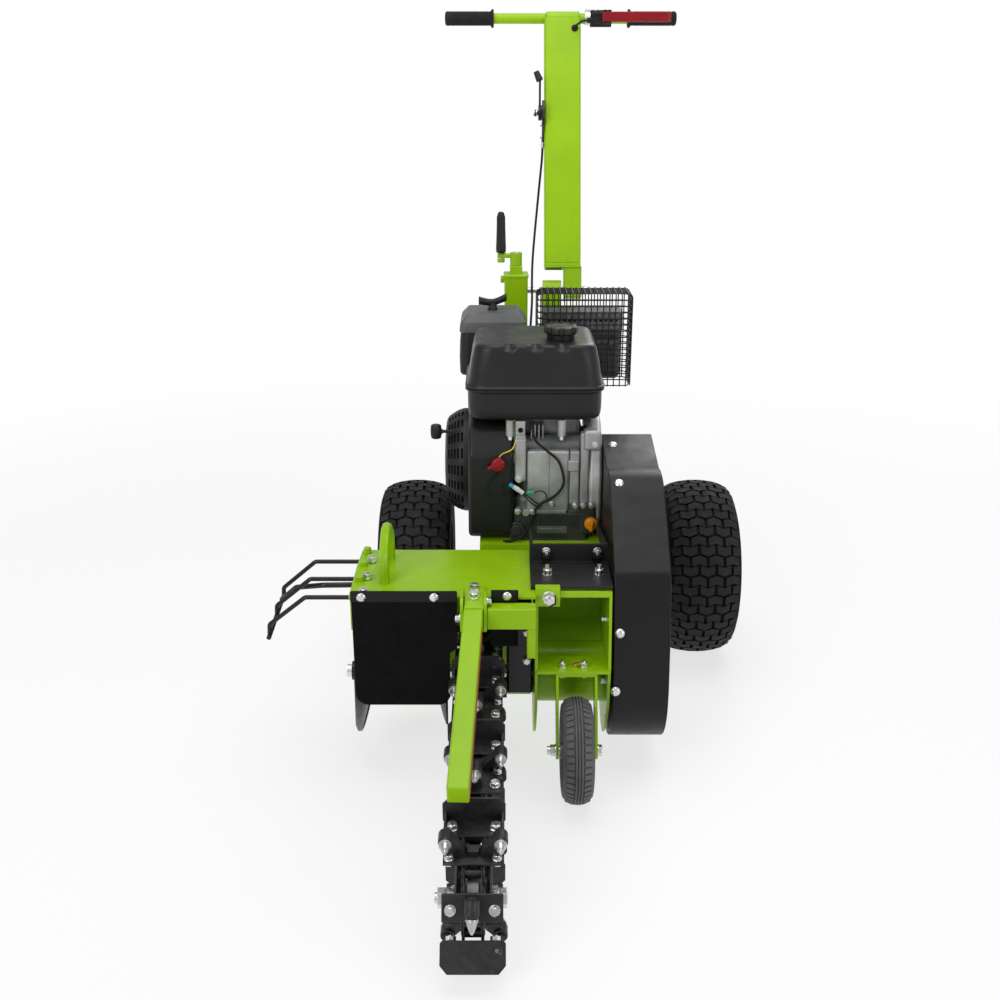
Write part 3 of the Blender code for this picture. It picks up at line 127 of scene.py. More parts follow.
class TrencherSizes(bpy.types.PropertyGroup):
    edge: bpy.props.FloatProperty(
        name="Edge", description="Rounding of painted steel edges", unit="LENGTH", subtype="DISTANCE",
        min=0.0002, max=0.004, default=0.0009)
    tread: bpy.props.FloatProperty(
        name="Tread", description="Height of the ground tyres' blocks", unit="LENGTH", subtype="DISTANCE",
        min=0.002, max=0.012, default=0.006)
    tread_rows: bpy.props.IntProperty(
        name="Tread rows", description="Rows of blocks round a ground tyre", min=20, max=64, default=56)
    cage_wire: bpy.props.FloatProperty(
        name="Cage wire", description="Radius of the muffler cage's wires", unit="LENGTH", subtype="DISTANCE",
        min=0.0005, max=0.003, default=0.0014)


def colours():
    return bpy.context.scene.trencher_colours


def sizes():
    return bpy.context.scene.trencher_sizes


# Finishes


def shader_of(name):
    made = bpy.data.materials.new(name)
    made.use_nodes = True
    return made, made.node_tree, made.node_tree.nodes["Principled BSDF"]


def noise(tree, scale, detail=3.0, stretch=None):
    """Noise on Object coordinates; stretch squeezes it along X, Y and Z."""
    coords = tree.nodes.new("ShaderNodeTexCoord")
    field = tree.nodes.new("ShaderNodeTexNoise")
    field.inputs["Scale"].default_value = scale
    field.inputs["Detail"].default_value = detail
    if stretch:
        mapping = tree.nodes.new("ShaderNodeMapping")
        mapping.inputs["Scale"].default_value = stretch
        tree.links.new(coords.outputs["Object"], mapping.inputs["Vector"])
        tree.links.new(mapping.outputs["Vector"], field.inputs["Vector"])
    else:
        tree.links.new(coords.outputs["Object"], field.inputs["Vector"])
    return field.outputs["Fac"]


def ramp(tree, value, stops):
    """A colour ramp over a value; stops are (place, colour) pairs."""
    made = tree.nodes.new("ShaderNodeValToRGB")
    band = made.color_ramp
    while len(band.elements) < len(stops):
        band.elements.new(0.5)
    for element, (place, colour) in zip(band.elements, stops):
        element.position = place
        element.color = (*colour, 1.0)
    tree.links.new(value, made.inputs["Fac"])
    return made.outputs["Color"]


def spread(tree, value, low, high):
    made = tree.nodes.new("ShaderNodeMapRange")
    made.inputs["From Min"].default_value = 0.3
    made.inputs["From Max"].default_value = 0.7
    made.inputs["To Min"].default_value = low
    made.inputs["To Max"].default_value = high
    tree.links.new(value, made.inputs["Value"])
    return made.outputs["Result"]


def bump(tree, shader, value, height, strength):
    made = tree.nodes.new("ShaderNodeBump")
    made.inputs["Strength"].default_value = strength
    made.inputs["Distance"].default_value = height
    tree.links.new(value, made.inputs["Height"])
    tree.links.new(made.outputs["Normal"], shader.inputs["Normal"])


def shade(colour, factor):
    return tuple(min(1.0, c * factor) for c in colour)


def surface(name, tint, stops, gloss, low, high, skin, height, strength, sockets):
    """A finish from three noises: for its colour, its roughness from low to high, and its bump.

    tint, gloss and skin are what noise() takes. A pair among the sockets' values follows the first noise.
    """
    made, tree, shader = shader_of(name)
    mottle = noise(tree, *tint)
    tree.links.new(ramp(tree, mottle, stops), shader.inputs["Base Color"])
    tree.links.new(spread(tree, noise(tree, *gloss), low, high), shader.inputs["Roughness"])
    bump(tree, shader, noise(tree, *skin), height, strength)
    for socket, value in sockets.items():
        if isinstance(value, tuple):
            tree.links.new(spread(tree, mottle, *value), shader.inputs[socket])
        else:
            shader.inputs[socket].default_value = value
    return made


def powder_coat(name, colour, gloss, shine=0.24):
    """Sprayed and baked paint: a faint orange peel, a little dust and a clear gloss."""
    stops = [(0.32, shade(colour, 0.93)), (0.68, shade(colour, 1.06))]
    return surface(name, (9, 5), stops, (26, 4), gloss - 0.05, gloss + 0.09, (420, 2), 0.00016, 0.35,
                   {"Specular IOR Level": shine, "Coat Weight": 0.05, "Coat Roughness": 0.16})


def moulded_plastic(name, colour, roughness, grain):
    """Moulded plastic with a spark-eroded grain and slight shine where it is handled."""
    stops = [(0.3, shade(colour, 0.85)), (0.7, shade(colour, 1.18))]
    return surface(name, (14, 4), stops, (30, 3), roughness - 0.07, roughness + 0.08, (grain, 2),
                   0.00022, 0.4, {"Specular IOR Level": 0.28})


def rubber(name, colour, dust, scale, shine=0.18):
    """Rubber with dust in the hollows of its surface and a fine skin."""
    stops = [(0.35, colour), (0.62, shade(colour, 1.25)), (0.8, shade(colour, dust))]
    return surface(name, (scale, 6), stops, (45, 4), 0.62, 0.85, (700, 4), 0.0004, 0.45,
                   {"Specular IOR Level": shine})


def cast_metal(name, colour, roughness):
    """Sand or die cast metal: mottled, with a pebbled skin."""
    stops = [(0.3, shade(colour, 0.72)), (0.55, colour), (0.75, shade(colour, 1.2))]
    return surface(name, (22, 6), stops, (60, 4), roughness - 0.1, roughness + 0.12, (520, 4), 0.0005, 0.4,
                   {"Metallic": 0.55})


def plated_steel(name, colour, roughness=0.27):
    """Zinc plated fasteners and shafts, with faint turning marks and cloudy plating."""
    stops = [(0.3, shade(colour, 0.74)), (0.6, colour), (0.8, shade(colour, 1.15))]
    return surface(name, (60, 5), stops, (120, 4), roughness - 0.08, roughness + 0.12,
                   (900, 3, (1, 0.15, 1)), 0.00012, 0.3, {"Metallic": 1.0})


def worn_black(name, colour, bare, amount, roughness=0.42):
    """Black finish over steel that digging and handling have rubbed through in patches."""
    stops = [(amount - 0.06, colour), (amount + 0.02, shade(colour, 1.7)), (amount + 0.1, bare)]
    return surface(name, (70, 8), stops, (90, 5), roughness - 0.1, roughness + 0.14, (340, 5), 0.0004, 0.4,
                   {"Metallic": (0.15, 0.55)})


FINISH = {}


def make_finishes():
    c = colours()
    FINISH.update({
        "green": powder_coat("green_powder_coat", tuple(c.green), 0.3),
        "black": powder_coat("black_powder_coat", tuple(c.black), 0.4, 0.2),
        "satin_black": powder_coat("satin_black_paint", shade(tuple(c.black), 2.2), 0.42),
        "gloss_black": powder_coat("gloss_black_paint", tuple(c.black), 0.24, 0.34),
        "tank_paint": moulded_plastic("tank_paint", tuple(c.tank), 0.36, 800),
        "engine_plastic": moulded_plastic("engine_plastic", tuple(c.plastic), 0.42, 1100),
        "filter_plastic": moulded_plastic("filter_plastic", (0.088, 0.088, 0.09), 0.4, 1100),
        "grip_rubber": rubber("grip_rubber", (0.014, 0.014, 0.015), 1.5, 40),
        "tyre_rubber": rubber("tyre_rubber", (0.017, 0.017, 0.018), 1.9, 26),
        # painted shade: rubber far darker than the tyres' blocks, laid in the tread's grooves, the recoil
        # cover's slots and where holes and slots are
        "painted_shade_rubber": rubber("painted_shade_rubber", (0.005, 0.005, 0.0052), 1.6, 26, 0.12),
        "jockey_rubber": rubber("jockey_rubber", (0.098, 0.098, 0.1), 1.3, 34),
        "flap_rubber": rubber("flap_rubber", (0.0036, 0.0036, 0.0038), 1.5, 18, 0.08),
        "cable_sheath": rubber("cable_sheath", (0.014, 0.014, 0.015), 1.4, 60),
        "cast": cast_metal("cast_aluminium", (0.42, 0.42, 0.42), 0.42),
        "bright_cast": cast_metal("bright_casting", (0.66, 0.66, 0.66), 0.44),
        "dark_cast": cast_metal("dark_casting", (0.055, 0.056, 0.06), 0.5),
        "grey_cast": cast_metal("grey_casting", (0.17, 0.175, 0.18), 0.46),
        "steel": plated_steel("plated_steel", (0.74, 0.74, 0.73)),
        "carbide": plated_steel("carbide_tip", (0.5, 0.5, 0.5), 0.33),
        "brass": plated_steel("yellow_brass", (0.72, 0.5, 0.18), 0.3),
        "chain_black": worn_black("chain_black", (0.018, 0.018, 0.0195), (0.28, 0.28, 0.28), 0.66),
        "dark_steel": worn_black("dark_steel", (0.03, 0.03, 0.032), (0.2, 0.2, 0.2), 0.7, 0.4),
        "cage_black": worn_black("cage_black", (0.016, 0.016, 0.017), (0.12, 0.12, 0.12), 0.74, 0.36),
        "muffler_grey": worn_black("muffler_grey", (0.045, 0.045, 0.047), (0.16, 0.16, 0.16), 0.66, 0.4),
        "shield_grey": worn_black("shield_grey", (0.09, 0.09, 0.094), (0.25, 0.25, 0.25), 0.6, 0.38),
        "red": moulded_plastic("red_plastic", tuple(c.red), 0.3, 900),
        "orange": moulded_plastic("orange_plastic", tuple(c.orange), 0.34, 900),
        "yellow_wire": moulded_plastic("yellow_insulation", (0.62, 0.47, 0.06), 0.4, 900),
        "blue_plug": moulded_plastic("blue_plug", (0.03, 0.35, 0.55), 0.35, 900),
        "green_plug": moulded_plastic("green_plug", (0.01, 0.42, 0.18), 0.35, 900),
        "clear_plug": moulded_plastic("clear_plug", (0.62, 0.63, 0.62), 0.3, 900),
        "primer": moulded_plastic("red_oxide", (0.3, 0.06, 0.02), 0.6, 500),
    })


# Builders: each adds a shape to a bmesh, in the drawing's millimetres

FACING = {  # where a profile's radius points as its turn begins, and where its axis points
    "X": (Vector((0, 1, 0)), Vector((1, 0, 0))),
    "Y": (Vector((0, 0, 1)), Vector((0, 1, 0))),
    "Z": (Vector((1, 0, 0)), Vector((0, 0, 1))),
}


def spot(x, y, z):
    """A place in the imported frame, from the drawing's millimetres."""
    return (Vector((x, y, z)) + DRAWN) * MM


def connected(verts):
    """All vertices of the shapes that the given ones belong to."""
    seen, todo = set(verts), list(verts)
    while todo:
        for edge in todo.pop().link_edges:
            for vert in edge.verts:
                if vert not in seen:
                    seen.add(vert)
                    todo.append(vert)
    return list(seen)


def rounded(bm, verts, width, segments, angle=30):
    """Rounds the sharp edges among the vertices and gives back the shape's vertices."""
    if width <= 0:
        return list(verts)
    edges = list({e for v in verts for e in v.link_edges
                  if len(e.link_faces) == 2 and e.calc_face_angle(0) > math.radians(angle)})
    made = bmesh.ops.bevel(
        bm, geom=edges, offset=width * MM, segments=segments, profile=0.5, affect="EDGES", material=-1,
        clamp_overlap=True)
    return connected(made["verts"])


def each(builder, bm, rows):
    """Runs a builder once for every row of what it takes after the bmesh."""
    for row in rows:
        builder(bm, *row)


def block(bm, x0, x1, y0, y1, z0, z1, width=0.0, segments=2):
    """A box between three pairs of limits, its edges rounded by a width."""
    verts = bmesh.ops.create_cube(bm, size=1.0)["verts"]
    bmesh.ops.scale(bm, vec=Vector((x1 - x0, y1 - y0, z1 - z0)) * MM, verts=verts)
    bmesh.ops.translate(bm, vec=spot((x0 + x1) / 2, (y0 + y1) / 2, (z0 + z1) / 2), verts=verts)
    return rounded(bm, verts, width, segments)


def bar(bm, start, end, radius, sides, tip=None, width=0.0):
    """A round bar between two places; tip is its radius at the far end."""
    a, b = spot(*start), spot(*end)
    turn = Vector((0, 0, 1)).rotation_difference(b - a).to_matrix().to_4x4()
    verts = bmesh.ops.create_cone(
        bm, cap_ends=True, segments=sides, radius1=radius * MM,
        radius2=(radius if tip is None else tip) * MM, depth=(b - a).length,
        matrix=Matrix.Translation((a + b) / 2) @ turn,
    )["verts"]
    return rounded(bm, verts, width, 2, 40)


def plate(bm, axis, outline, start, end, width=0.0, segments=2):
    """An outline pushed along an axis. X takes (y, z) pairs, Y takes (x, z) pairs, Z takes (x, y) pairs."""
    place = {
        "X": lambda a, b, t: spot(t, a, b),
        "Y": lambda a, b, t: spot(a, t, b),
        "Z": lambda a, b, t: spot(a, b, t),
    }[axis]
    face = bm.faces.new([bm.verts.new(place(a, b, start)) for a, b in outline])
    made = bmesh.ops.extrude_face_region(bm, geom=[face])["geom"]
    far = [g for g in made if isinstance(g, bmesh.types.BMVert)]
    bmesh.ops.translate(bm, vec=FACING[axis][1] * (end - start) * MM, verts=far)
    verts = far + list(face.verts)
    bmesh.ops.recalc_face_normals(bm, faces=list({f for v in verts for f in v.link_faces}))
    return rounded(bm, verts, width, segments)


def mirrored(half):
    """A profile from one half of it: the same points follow on the other side of its middle."""
    return half + [(r, -t) for r, t in reversed(half)]


def turning(bm, axis, profile, centre, steps, closed=False):
    """A profile of (radius, place along the axis) spun a full turn about an axis through centre."""
    side, along = FACING[axis]
    middle = spot(*centre)
    verts = [bm.verts.new(middle + (side * r + along * t) * MM) for r, t in profile]
    pairs = list(zip(verts, verts[1:])) + ([(verts[-1], verts[0])] if closed else [])
    edges = [bm.edges.new(pair) for pair in pairs]
    bmesh.ops.spin(bm, geom=verts + edges, cent=middle, axis=along, dvec=(0, 0, 0), angle=2 * math.pi,
                   steps=steps, use_merge=True, use_duplicate=False, use_normal_flip=False)
    bmesh.ops.remove_doubles(bm, verts=connected(verts), dist=MERGE)


def nut(bm, centre, axis, across, height, washer=True):
    """A hexagon head or nut whose seat is at centre and that stands out along the axis vector."""
    out = Vector(axis).normalized()
    base = Vector(centre)
    if washer:
        bar(bm, base - out * 0.6, base + out * 1.6, across * 0.62, 24)
        base = base + out * 1.5
    bar(bm, base, base + out * height, across / math.sqrt(3), 6, None, 0.5)
    bar(bm, base + out * (height - 0.3), base + out * (height + 0.7), across * 0.42, 20, across * 0.36)


def stud(bm, centre, axis, across, height, past):
    """A nut on the end of a bolt that stands past it."""
    out = Vector(axis).normalized()
    nut(bm, centre, axis, across, height)
    tip = Vector(centre) + out * (height + 1)
    bar(bm, tip, tip + out * past, across * 0.28, 16, across * 0.25)


def dome(bm, centre, axis, radius, height):
    """A button head screw: a low dome in three stacked steps."""
    out = Vector(axis).normalized()
    base = Vector(centre)
    for k in range(3):
        t0, t1 = k / 3, (k + 1) / 3
        bar(bm, base + out * height * t0, base + out * height * t1, radius * math.cos(t0 * 1.1), 20,
            radius * math.cos(t1 * 1.1))


def tube(bm, points, radius, sides, closed=False):
    """A round wire along places in the drawing's millimetres, from a bevelled curve."""
    curve = bpy.data.curves.new("wire", "CURVE")
    curve.dimensions = "3D"
    curve.bevel_depth = radius * MM
    curve.bevel_resolution = sides
    curve.use_fill_caps = True
    spline = curve.splines.new("POLY")
    spline.points.add(len(points) - 1)
    for point, place in zip(spline.points, points):
        point.co = (*spot(*place), 1.0)
    spline.use_cyclic_u = closed
    holder = bpy.data.objects.new("wire", curve)
    bpy.context.scene.collection.objects.link(holder)
    bpy.context.view_layer.update()
    mesh = bpy.data.meshes.new_from_object(holder.evaluated_get(bpy.context.evaluated_depsgraph_get()))
    bpy.data.objects.remove(holder, do_unlink=True)
    bpy.data.curves.remove(curve)
    bm.from_mesh(mesh)
    bpy.data.meshes.remove(mesh)


def flowing(points, parts):
    """Points on a smooth curve through the given ones."""
    points = [Vector(p) for p in points]
    path = []
    for i in range(len(points) - 1):
        p0, p1, p2 = points[max(i - 1, 0)], points[i], points[i + 1]
        p3 = points[min(i + 2, len(points) - 1)]
        for k in range(parts):
            t = k / parts
            path.append(0.5 * ((2 * p1) + (p2 - p0) * t + (2 * p0 - 5 * p1 + 4 * p2 - p3) * t**2
                               + (3 * p1 - p0 - 3 * p2 + p3) * t**3))
    return [*path, points[-1]]


def bent(points, bend, parts):
    """A path of straight runs with each corner rounded."""
    corners = [Vector(p) for p in points]
    path = [corners[0]]
    for before, here, after in zip(corners, corners[1:], corners[2:]):
        back, on = before - here, after - here
        run = min(bend / math.tan(back.angle(on) / 2), back.length * 0.49, on.length * 0.49)
        first, last = here + back.normalized() * run, here + on.normalized() * run
        for k in range(parts + 1):
            t = k / parts
            path.append(first * (1 - t) ** 2 + here * 2 * t * (1 - t) + last * t**2)
    return [*path, corners[-1]]


def turn_points(cx, cy, radius, start, end, count):
    """Places on an arc between two angles in degrees, count + 1 of them."""
    angles = [math.radians(start + (end - start) * k / count) for k in range(count + 1)]
    return [(cx + radius * math.cos(a), cy + radius * math.sin(a)) for a in angles]


def rotated(bm, verts, centre, axis, angle):
    bmesh.ops.rotate(bm, verts=list(verts), cent=spot(*centre), matrix=Matrix.Rotation(angle, 3, axis))


def laid(bm, matrix, draw):
    """Runs draw on a fresh bmesh about the origin and adds what it makes, put in place by a matrix."""
    fresh = bmesh.new()
    draw(fresh)
    fresh.transform(matrix @ Matrix.Translation(-DRAWN * MM))
    mesh = bpy.data.meshes.new("laid")
    fresh.to_mesh(mesh)
    fresh.free()
    bm.from_mesh(mesh)
    bpy.data.meshes.remove(mesh)


CREASE = math.radians(32)  # edges that fold more than this are rounded
FLAT = math.radians(0.6)  # faces that fold less than this are one


def piece(name, bm, finish, body, replaces=(), edge=0.0, sharp=38, outward=True):
    """Turns a bmesh into a finished piece that rides on a body, or on none."""
    if outward:
        bmesh.ops.recalc_face_normals(bm, faces=bm.faces)
    mesh = bpy.data.meshes.new(name)
    bm.to_mesh(mesh)
    bm.free()
    made = bpy.data.objects.new(name, mesh)
    bpy.context.scene.collection.objects.link(made)
    mesh.materials.append(FINISH[finish])
    for face in mesh.polygons:
        face.use_smooth = True
    mesh.set_sharp_from_angle(angle=math.radians(sharp))
    if edge:
        bevel = made.modifiers.new("Edges", "BEVEL")
        bevel.width = edge
        bevel.segments = 2
        bevel.limit_method = "ANGLE"
        bevel.angle_limit = CREASE
    weigh = made.modifiers.new("Normals", "WEIGHTED_NORMAL")
    weigh.keep_sharp = True
    if body:
        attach(made, body)
    if replaces:
        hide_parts(*replaces)
    return made


BODY_OF = {node: body for body, nodes in frame["record"]["behaviour"]["bodies"].items() for node in nodes}


def solid(node):
    """A CAD node's mesh as a fresh bmesh, its triangles joined up again into whole faces."""
    bm = bmesh.new()
    bm.from_mesh(frame["nodes"][node].data)
    bmesh.ops.remove_doubles(bm, verts=bm.verts, dist=MERGE)
    bmesh.ops.dissolve_limit(bm, angle_limit=FLAT, verts=bm.verts, edges=bm.edges,
                             use_dissolve_boundaries=False)
    return bm


def dressed(node, finish, edge=None):
    """Stands in for a CAD node with its own shape, softened edges and a finish."""
    return piece(f"{node}_shell", solid(node), finish, BODY_OF[node], [node],
                 sizes().edge if edge is None else edge, outward=False)


def painted(node, finish):
    """Gives a CAD node itself a finish."""
    materials = frame["nodes"][node].data.materials
    if not materials:
        materials.append(FINISH[finish])
    for i in range(len(materials)):
        materials[i] = FINISH[finish]


class TRENCHER_OT_stage(bpy.types.Operator):
    """Pale floor, soft studio lights and the camera"""

    bl_idname = "trencher.stage"
    bl_label = "Studio"

    def execute(self, context):
        scene = context.scene
        scene.view_settings.view_transform = "Standard"
        bm = bmesh.new()
        bmesh.ops.create_circle(bm, cap_ends=True, radius=40, segments=64)
        mesh = bpy.data.meshes.new("studio_floor")
        bm.to_mesh(mesh)
        bm.free()
        floor = bpy.data.objects.new("studio_floor", mesh)
        scene.collection.objects.link(floor)
        mesh.materials.append(self.floor_paint())
        self.sky(scene)
        for name, place, aim, size, power in LAMPS:
            data = bpy.data.lights.new(name, "AREA")
            data.shape = "SQUARE"
            data.size = size
            data.energy = power
            lamp = bpy.data.objects.new(name, data)
            lamp.location = place
            lamp.rotation_euler = (Vector(aim) - Vector(place)).to_track_quat("-Z", "Y").to_euler()
            scene.collection.objects.link(lamp)
        data = bpy.data.cameras.new("photo_camera")
        data.lens = CAMERA_LENS
        data.sensor_width = 36.0
        data.clip_start, data.clip_end = 0.05, 200
        camera = bpy.data.objects.new("photo_camera", data)
        camera.location = CAMERA_PLACE
        camera.rotation_euler = (CAMERA_DOWN, 0, 0)
        scene.collection.objects.link(camera)
        scene.camera = camera
        return {"FINISHED"}

    def floor_paint(self):
        """White that keeps the shadow near the machine and fades into the background further out."""
        made, tree, shader = shader_of("studio_floor")
        shader.inputs["Base Color"].default_value = (FLOOR_GREY, FLOOR_GREY, FLOOR_GREY, 1)
        shader.inputs["Roughness"].default_value = 0.8
        shader.inputs["Specular IOR Level"].default_value = 0.1
        glow = tree.nodes.new("ShaderNodeEmission")
        mix = tree.nodes.new("ShaderNodeMixShader")
        coords = tree.nodes.new("ShaderNodeTexCoord")
        reach = tree.nodes.new("ShaderNodeVectorMath")
        reach.operation = "LENGTH"
        fade = tree.nodes.new("ShaderNodeMapRange")
        fade.interpolation_type = "SMOOTHSTEP"
        fade.inputs["From Min"].default_value = FLOOR_NEAR
        fade.inputs["From Max"].default_value = FLOOR_FAR
        fade.inputs["To Min"].default_value = FLOOR_GLOW
        tree.links.new(coords.outputs["Object"], reach.inputs[0])
        tree.links.new(reach.outputs["Value"], fade.inputs["Value"])
        tree.links.new(fade.outputs["Result"], mix.inputs["Fac"])
        tree.links.new(shader.outputs["BSDF"], mix.inputs[1])
        tree.links.new(glow.outputs["Emission"], mix.inputs[2])
        tree.links.new(mix.outputs["Shader"], tree.nodes["Material Output"].inputs["Surface"])
        return made

    def sky(self, scene):
        world = bpy.data.worlds.new("studio")
        scene.world = world
        world.use_nodes = True
        tree = world.node_tree
        lit = tree.nodes["Background"]
        lit.inputs["Color"].default_value = SKY_COLOUR
        lit.inputs["Strength"].default_value = SKY_STRENGTH
        seen = tree.nodes.new("ShaderNodeBackground")
        seen.inputs["Color"].default_value = (1, 1, 1, 1)
        seen.inputs["Strength"].default_value = 1.0
        path = tree.nodes.new("ShaderNodeLightPath")
        mix = tree.nodes.new("ShaderNodeMixShader")
        either, both, glossy = (tree.nodes.new("ShaderNodeMath") for _ in range(3))
        either.operation = both.operation = "MAXIMUM"
        glossy.operation = "MULTIPLY"
        glossy.inputs[1].default_value = SKY_IN_GLOSS
        tree.links.new(path.outputs["Is Glossy Ray"], glossy.inputs[0])
        tree.links.new(path.outputs["Is Camera Ray"], either.inputs[0])
        tree.links.new(glossy.outputs[0], either.inputs[1])
        tree.links.new(either.outputs[0], both.inputs[0])
        tree.links.new(path.outputs["Is Transmission Ray"], both.inputs[1])
        tree.links.new(both.outputs[0], mix.inputs["Fac"])
        tree.links.new(lit.outputs["Background"], mix.inputs[1])
        tree.links.new(seen.outputs["Background"], mix.inputs[2])
        tree.links.new(mix.outputs["Shader"], tree.nodes["World Output"].inputs["Surface"])


# Wheels


TYRE_SECTION = ((0, 203), (14.4, 203), (42, 199), (60, 193.5), (71, 187), (78, 179))
BLOCK_PITCH, BLOCK_HALF, BLOCK_REACH, BLOCK_BEND = 37.5, 16.9, 10.5, 3.2
STUB_X, STUB_HALF = 67, 10.4  # the straight blocks at the tyre's shoulders
RIM_SIDES, LUGS = 72, 46


def tyre_radius(x):
    """Radius of the ground tyre's tread at a distance from its middle."""
    x = abs(x)
    for (x0, r0), (x1, r1) in zip(TYRE_SECTION, TYRE_SECTION[1:]):
        if x <= x1:
            return r0 + (r1 - r0) * (x - x0) / (x1 - x0)
    return TYRE_SECTION[-1][1]


class TRENCHER_OT_ground_wheels(bpy.types.Operator):
    """Turf tyres with staggered chevron blocks on painted rims"""

    bl_idname = "trencher.ground_wheels"
    bl_label = "Ground wheels"

    def execute(self, context):
        for side, x in (("left", LEFT_X), ("right", RIGHT_X)):
            centre = (x, *AXLE)
            bm = bmesh.new()
            deep = sizes().tread / MM
            half = [(tyre_radius(t) - deep, t) for t in (0, 14, 28, 42, 54, 64, 72)]
            half += [(176, 78), (166, 81.4), (150, 82), (132, 80), (119, 77.5), (114, 79), (109, 78),
                     (106, 74), (103, 66)]
            loop = [(r, -t) for r, t in reversed(half)] + half[1:]
            turning(bm, "X", [*loop, (101.6, 64), (101.6, -64)], centre, RIM_SIDES, closed=True)
            body = f"{side}_wheel"
            # the carcass between the blocks is black rubber made darker still: painted shade in the grooves
            piece(f"{side}_tyre_carcass", bm, "painted_shade_rubber", body, [f"{side}_tyre"], sharp=50)
            bm = bmesh.new()
            self.blocks(bm, centre, deep)
            piece(f"{side}_tyre_blocks", bm, "tyre_rubber", body, sharp=30)
            self.rim(side, centre, -1 if side == "left" else 1)
        painted("axle", "steel")
        return {"FINISHED"}

    def blocks(self, bm, centre, deep):
        """Staggered rows of blocks, every second row with a stub at each shoulder."""
        rows = sizes().tread_rows
        step = 2 * math.pi / rows
        for row in range(rows):
            bend, places = (BLOCK_BEND, (-1, 0, 1)) if row % 2 else (-BLOCK_BEND, (-1.5, -0.5, 0.5, 1.5))
            columns = [(k * BLOCK_PITCH, BLOCK_HALF) for k in places]
            if row % 2:
                columns += [(-STUB_X, STUB_HALF), (STUB_X, STUB_HALF)]
            for x, half in columns:
                self.block(bm, centre, x, half, bend, row * step, deep)

    def block(self, bm, centre, x, half, bend, angle, deep):
        """One chevron block, its outline laid on the tread and pushed out."""
        edge = BLOCK_REACH
        outline = [(-half, edge + bend), (0, edge - bend), (half, edge + bend),
                   (half, bend - edge), (0, -bend - edge), (-half, bend - edge)]
        if half == STUB_HALF:
            outline = [(-half, edge), (half, edge), (half, -edge), (-half, -edge)]

        def place(across, round_, lift, keep):
            r = tyre_radius(x + across * keep) - deep + lift
            a = angle + round_ * keep / WHEEL_R
            return spot(centre[0] + x + across * keep, centre[1] + r * math.sin(a),
                        centre[2] + r * math.cos(a))

        face = bm.faces.new([bm.verts.new(place(a, b, -1.5, 1)) for a, b in outline])
        made = bmesh.ops.extrude_face_region(bm, geom=[face])["geom"]
        top = [g for g in made if isinstance(g, bmesh.types.BMVert)]
        for vert in top:
            low = min(face.verts, key=lambda v: (v.co - vert.co).length)
            a, b = outline[list(face.verts).index(low)]
            vert.co = place(a, b, deep, 0.9)

    def rim(self, side, centre, out):
        bm = bmesh.new()
        near, far = (
            [(13.4, 48 * s), (26, 48 * s), (26, 4 * out + 4 * s), (60, 4 * out + 4 * s),
             (82, 12 * out + 4 * s), (89, 58 * s), (100.4, 62 * s), (104, 70 * s), (107.5, 70.5 * s),
             (108.5, 67 * s), (101, 60 * s)]
            for s in (-1, 1))
        turning(bm, "X", near + far[::-1], centre, RIM_SIDES, closed=True)
        piece(f"{side}_rim_disc", bm, "green", f"{side}_wheel", [f"{side}_rim"], sharp=40)
        bm = bmesh.new()
        for k in range(4):
            a = math.pi / 4 + k * math.pi / 2
            seat = (centre[0] + 8 * out, centre[1] + 45 * math.cos(a), centre[2] + 45 * math.sin(a))
            nut(bm, seat, (out, 0, 0), 19, 9)
        bar(bm, (centre[0] + 52 * out, *centre[1:]), (centre[0] + 56 * out, *centre[1:]), 21, 32, None, 1)
        piece(f"{side}_wheel_nuts", bm, "steel", f"{side}_wheel")


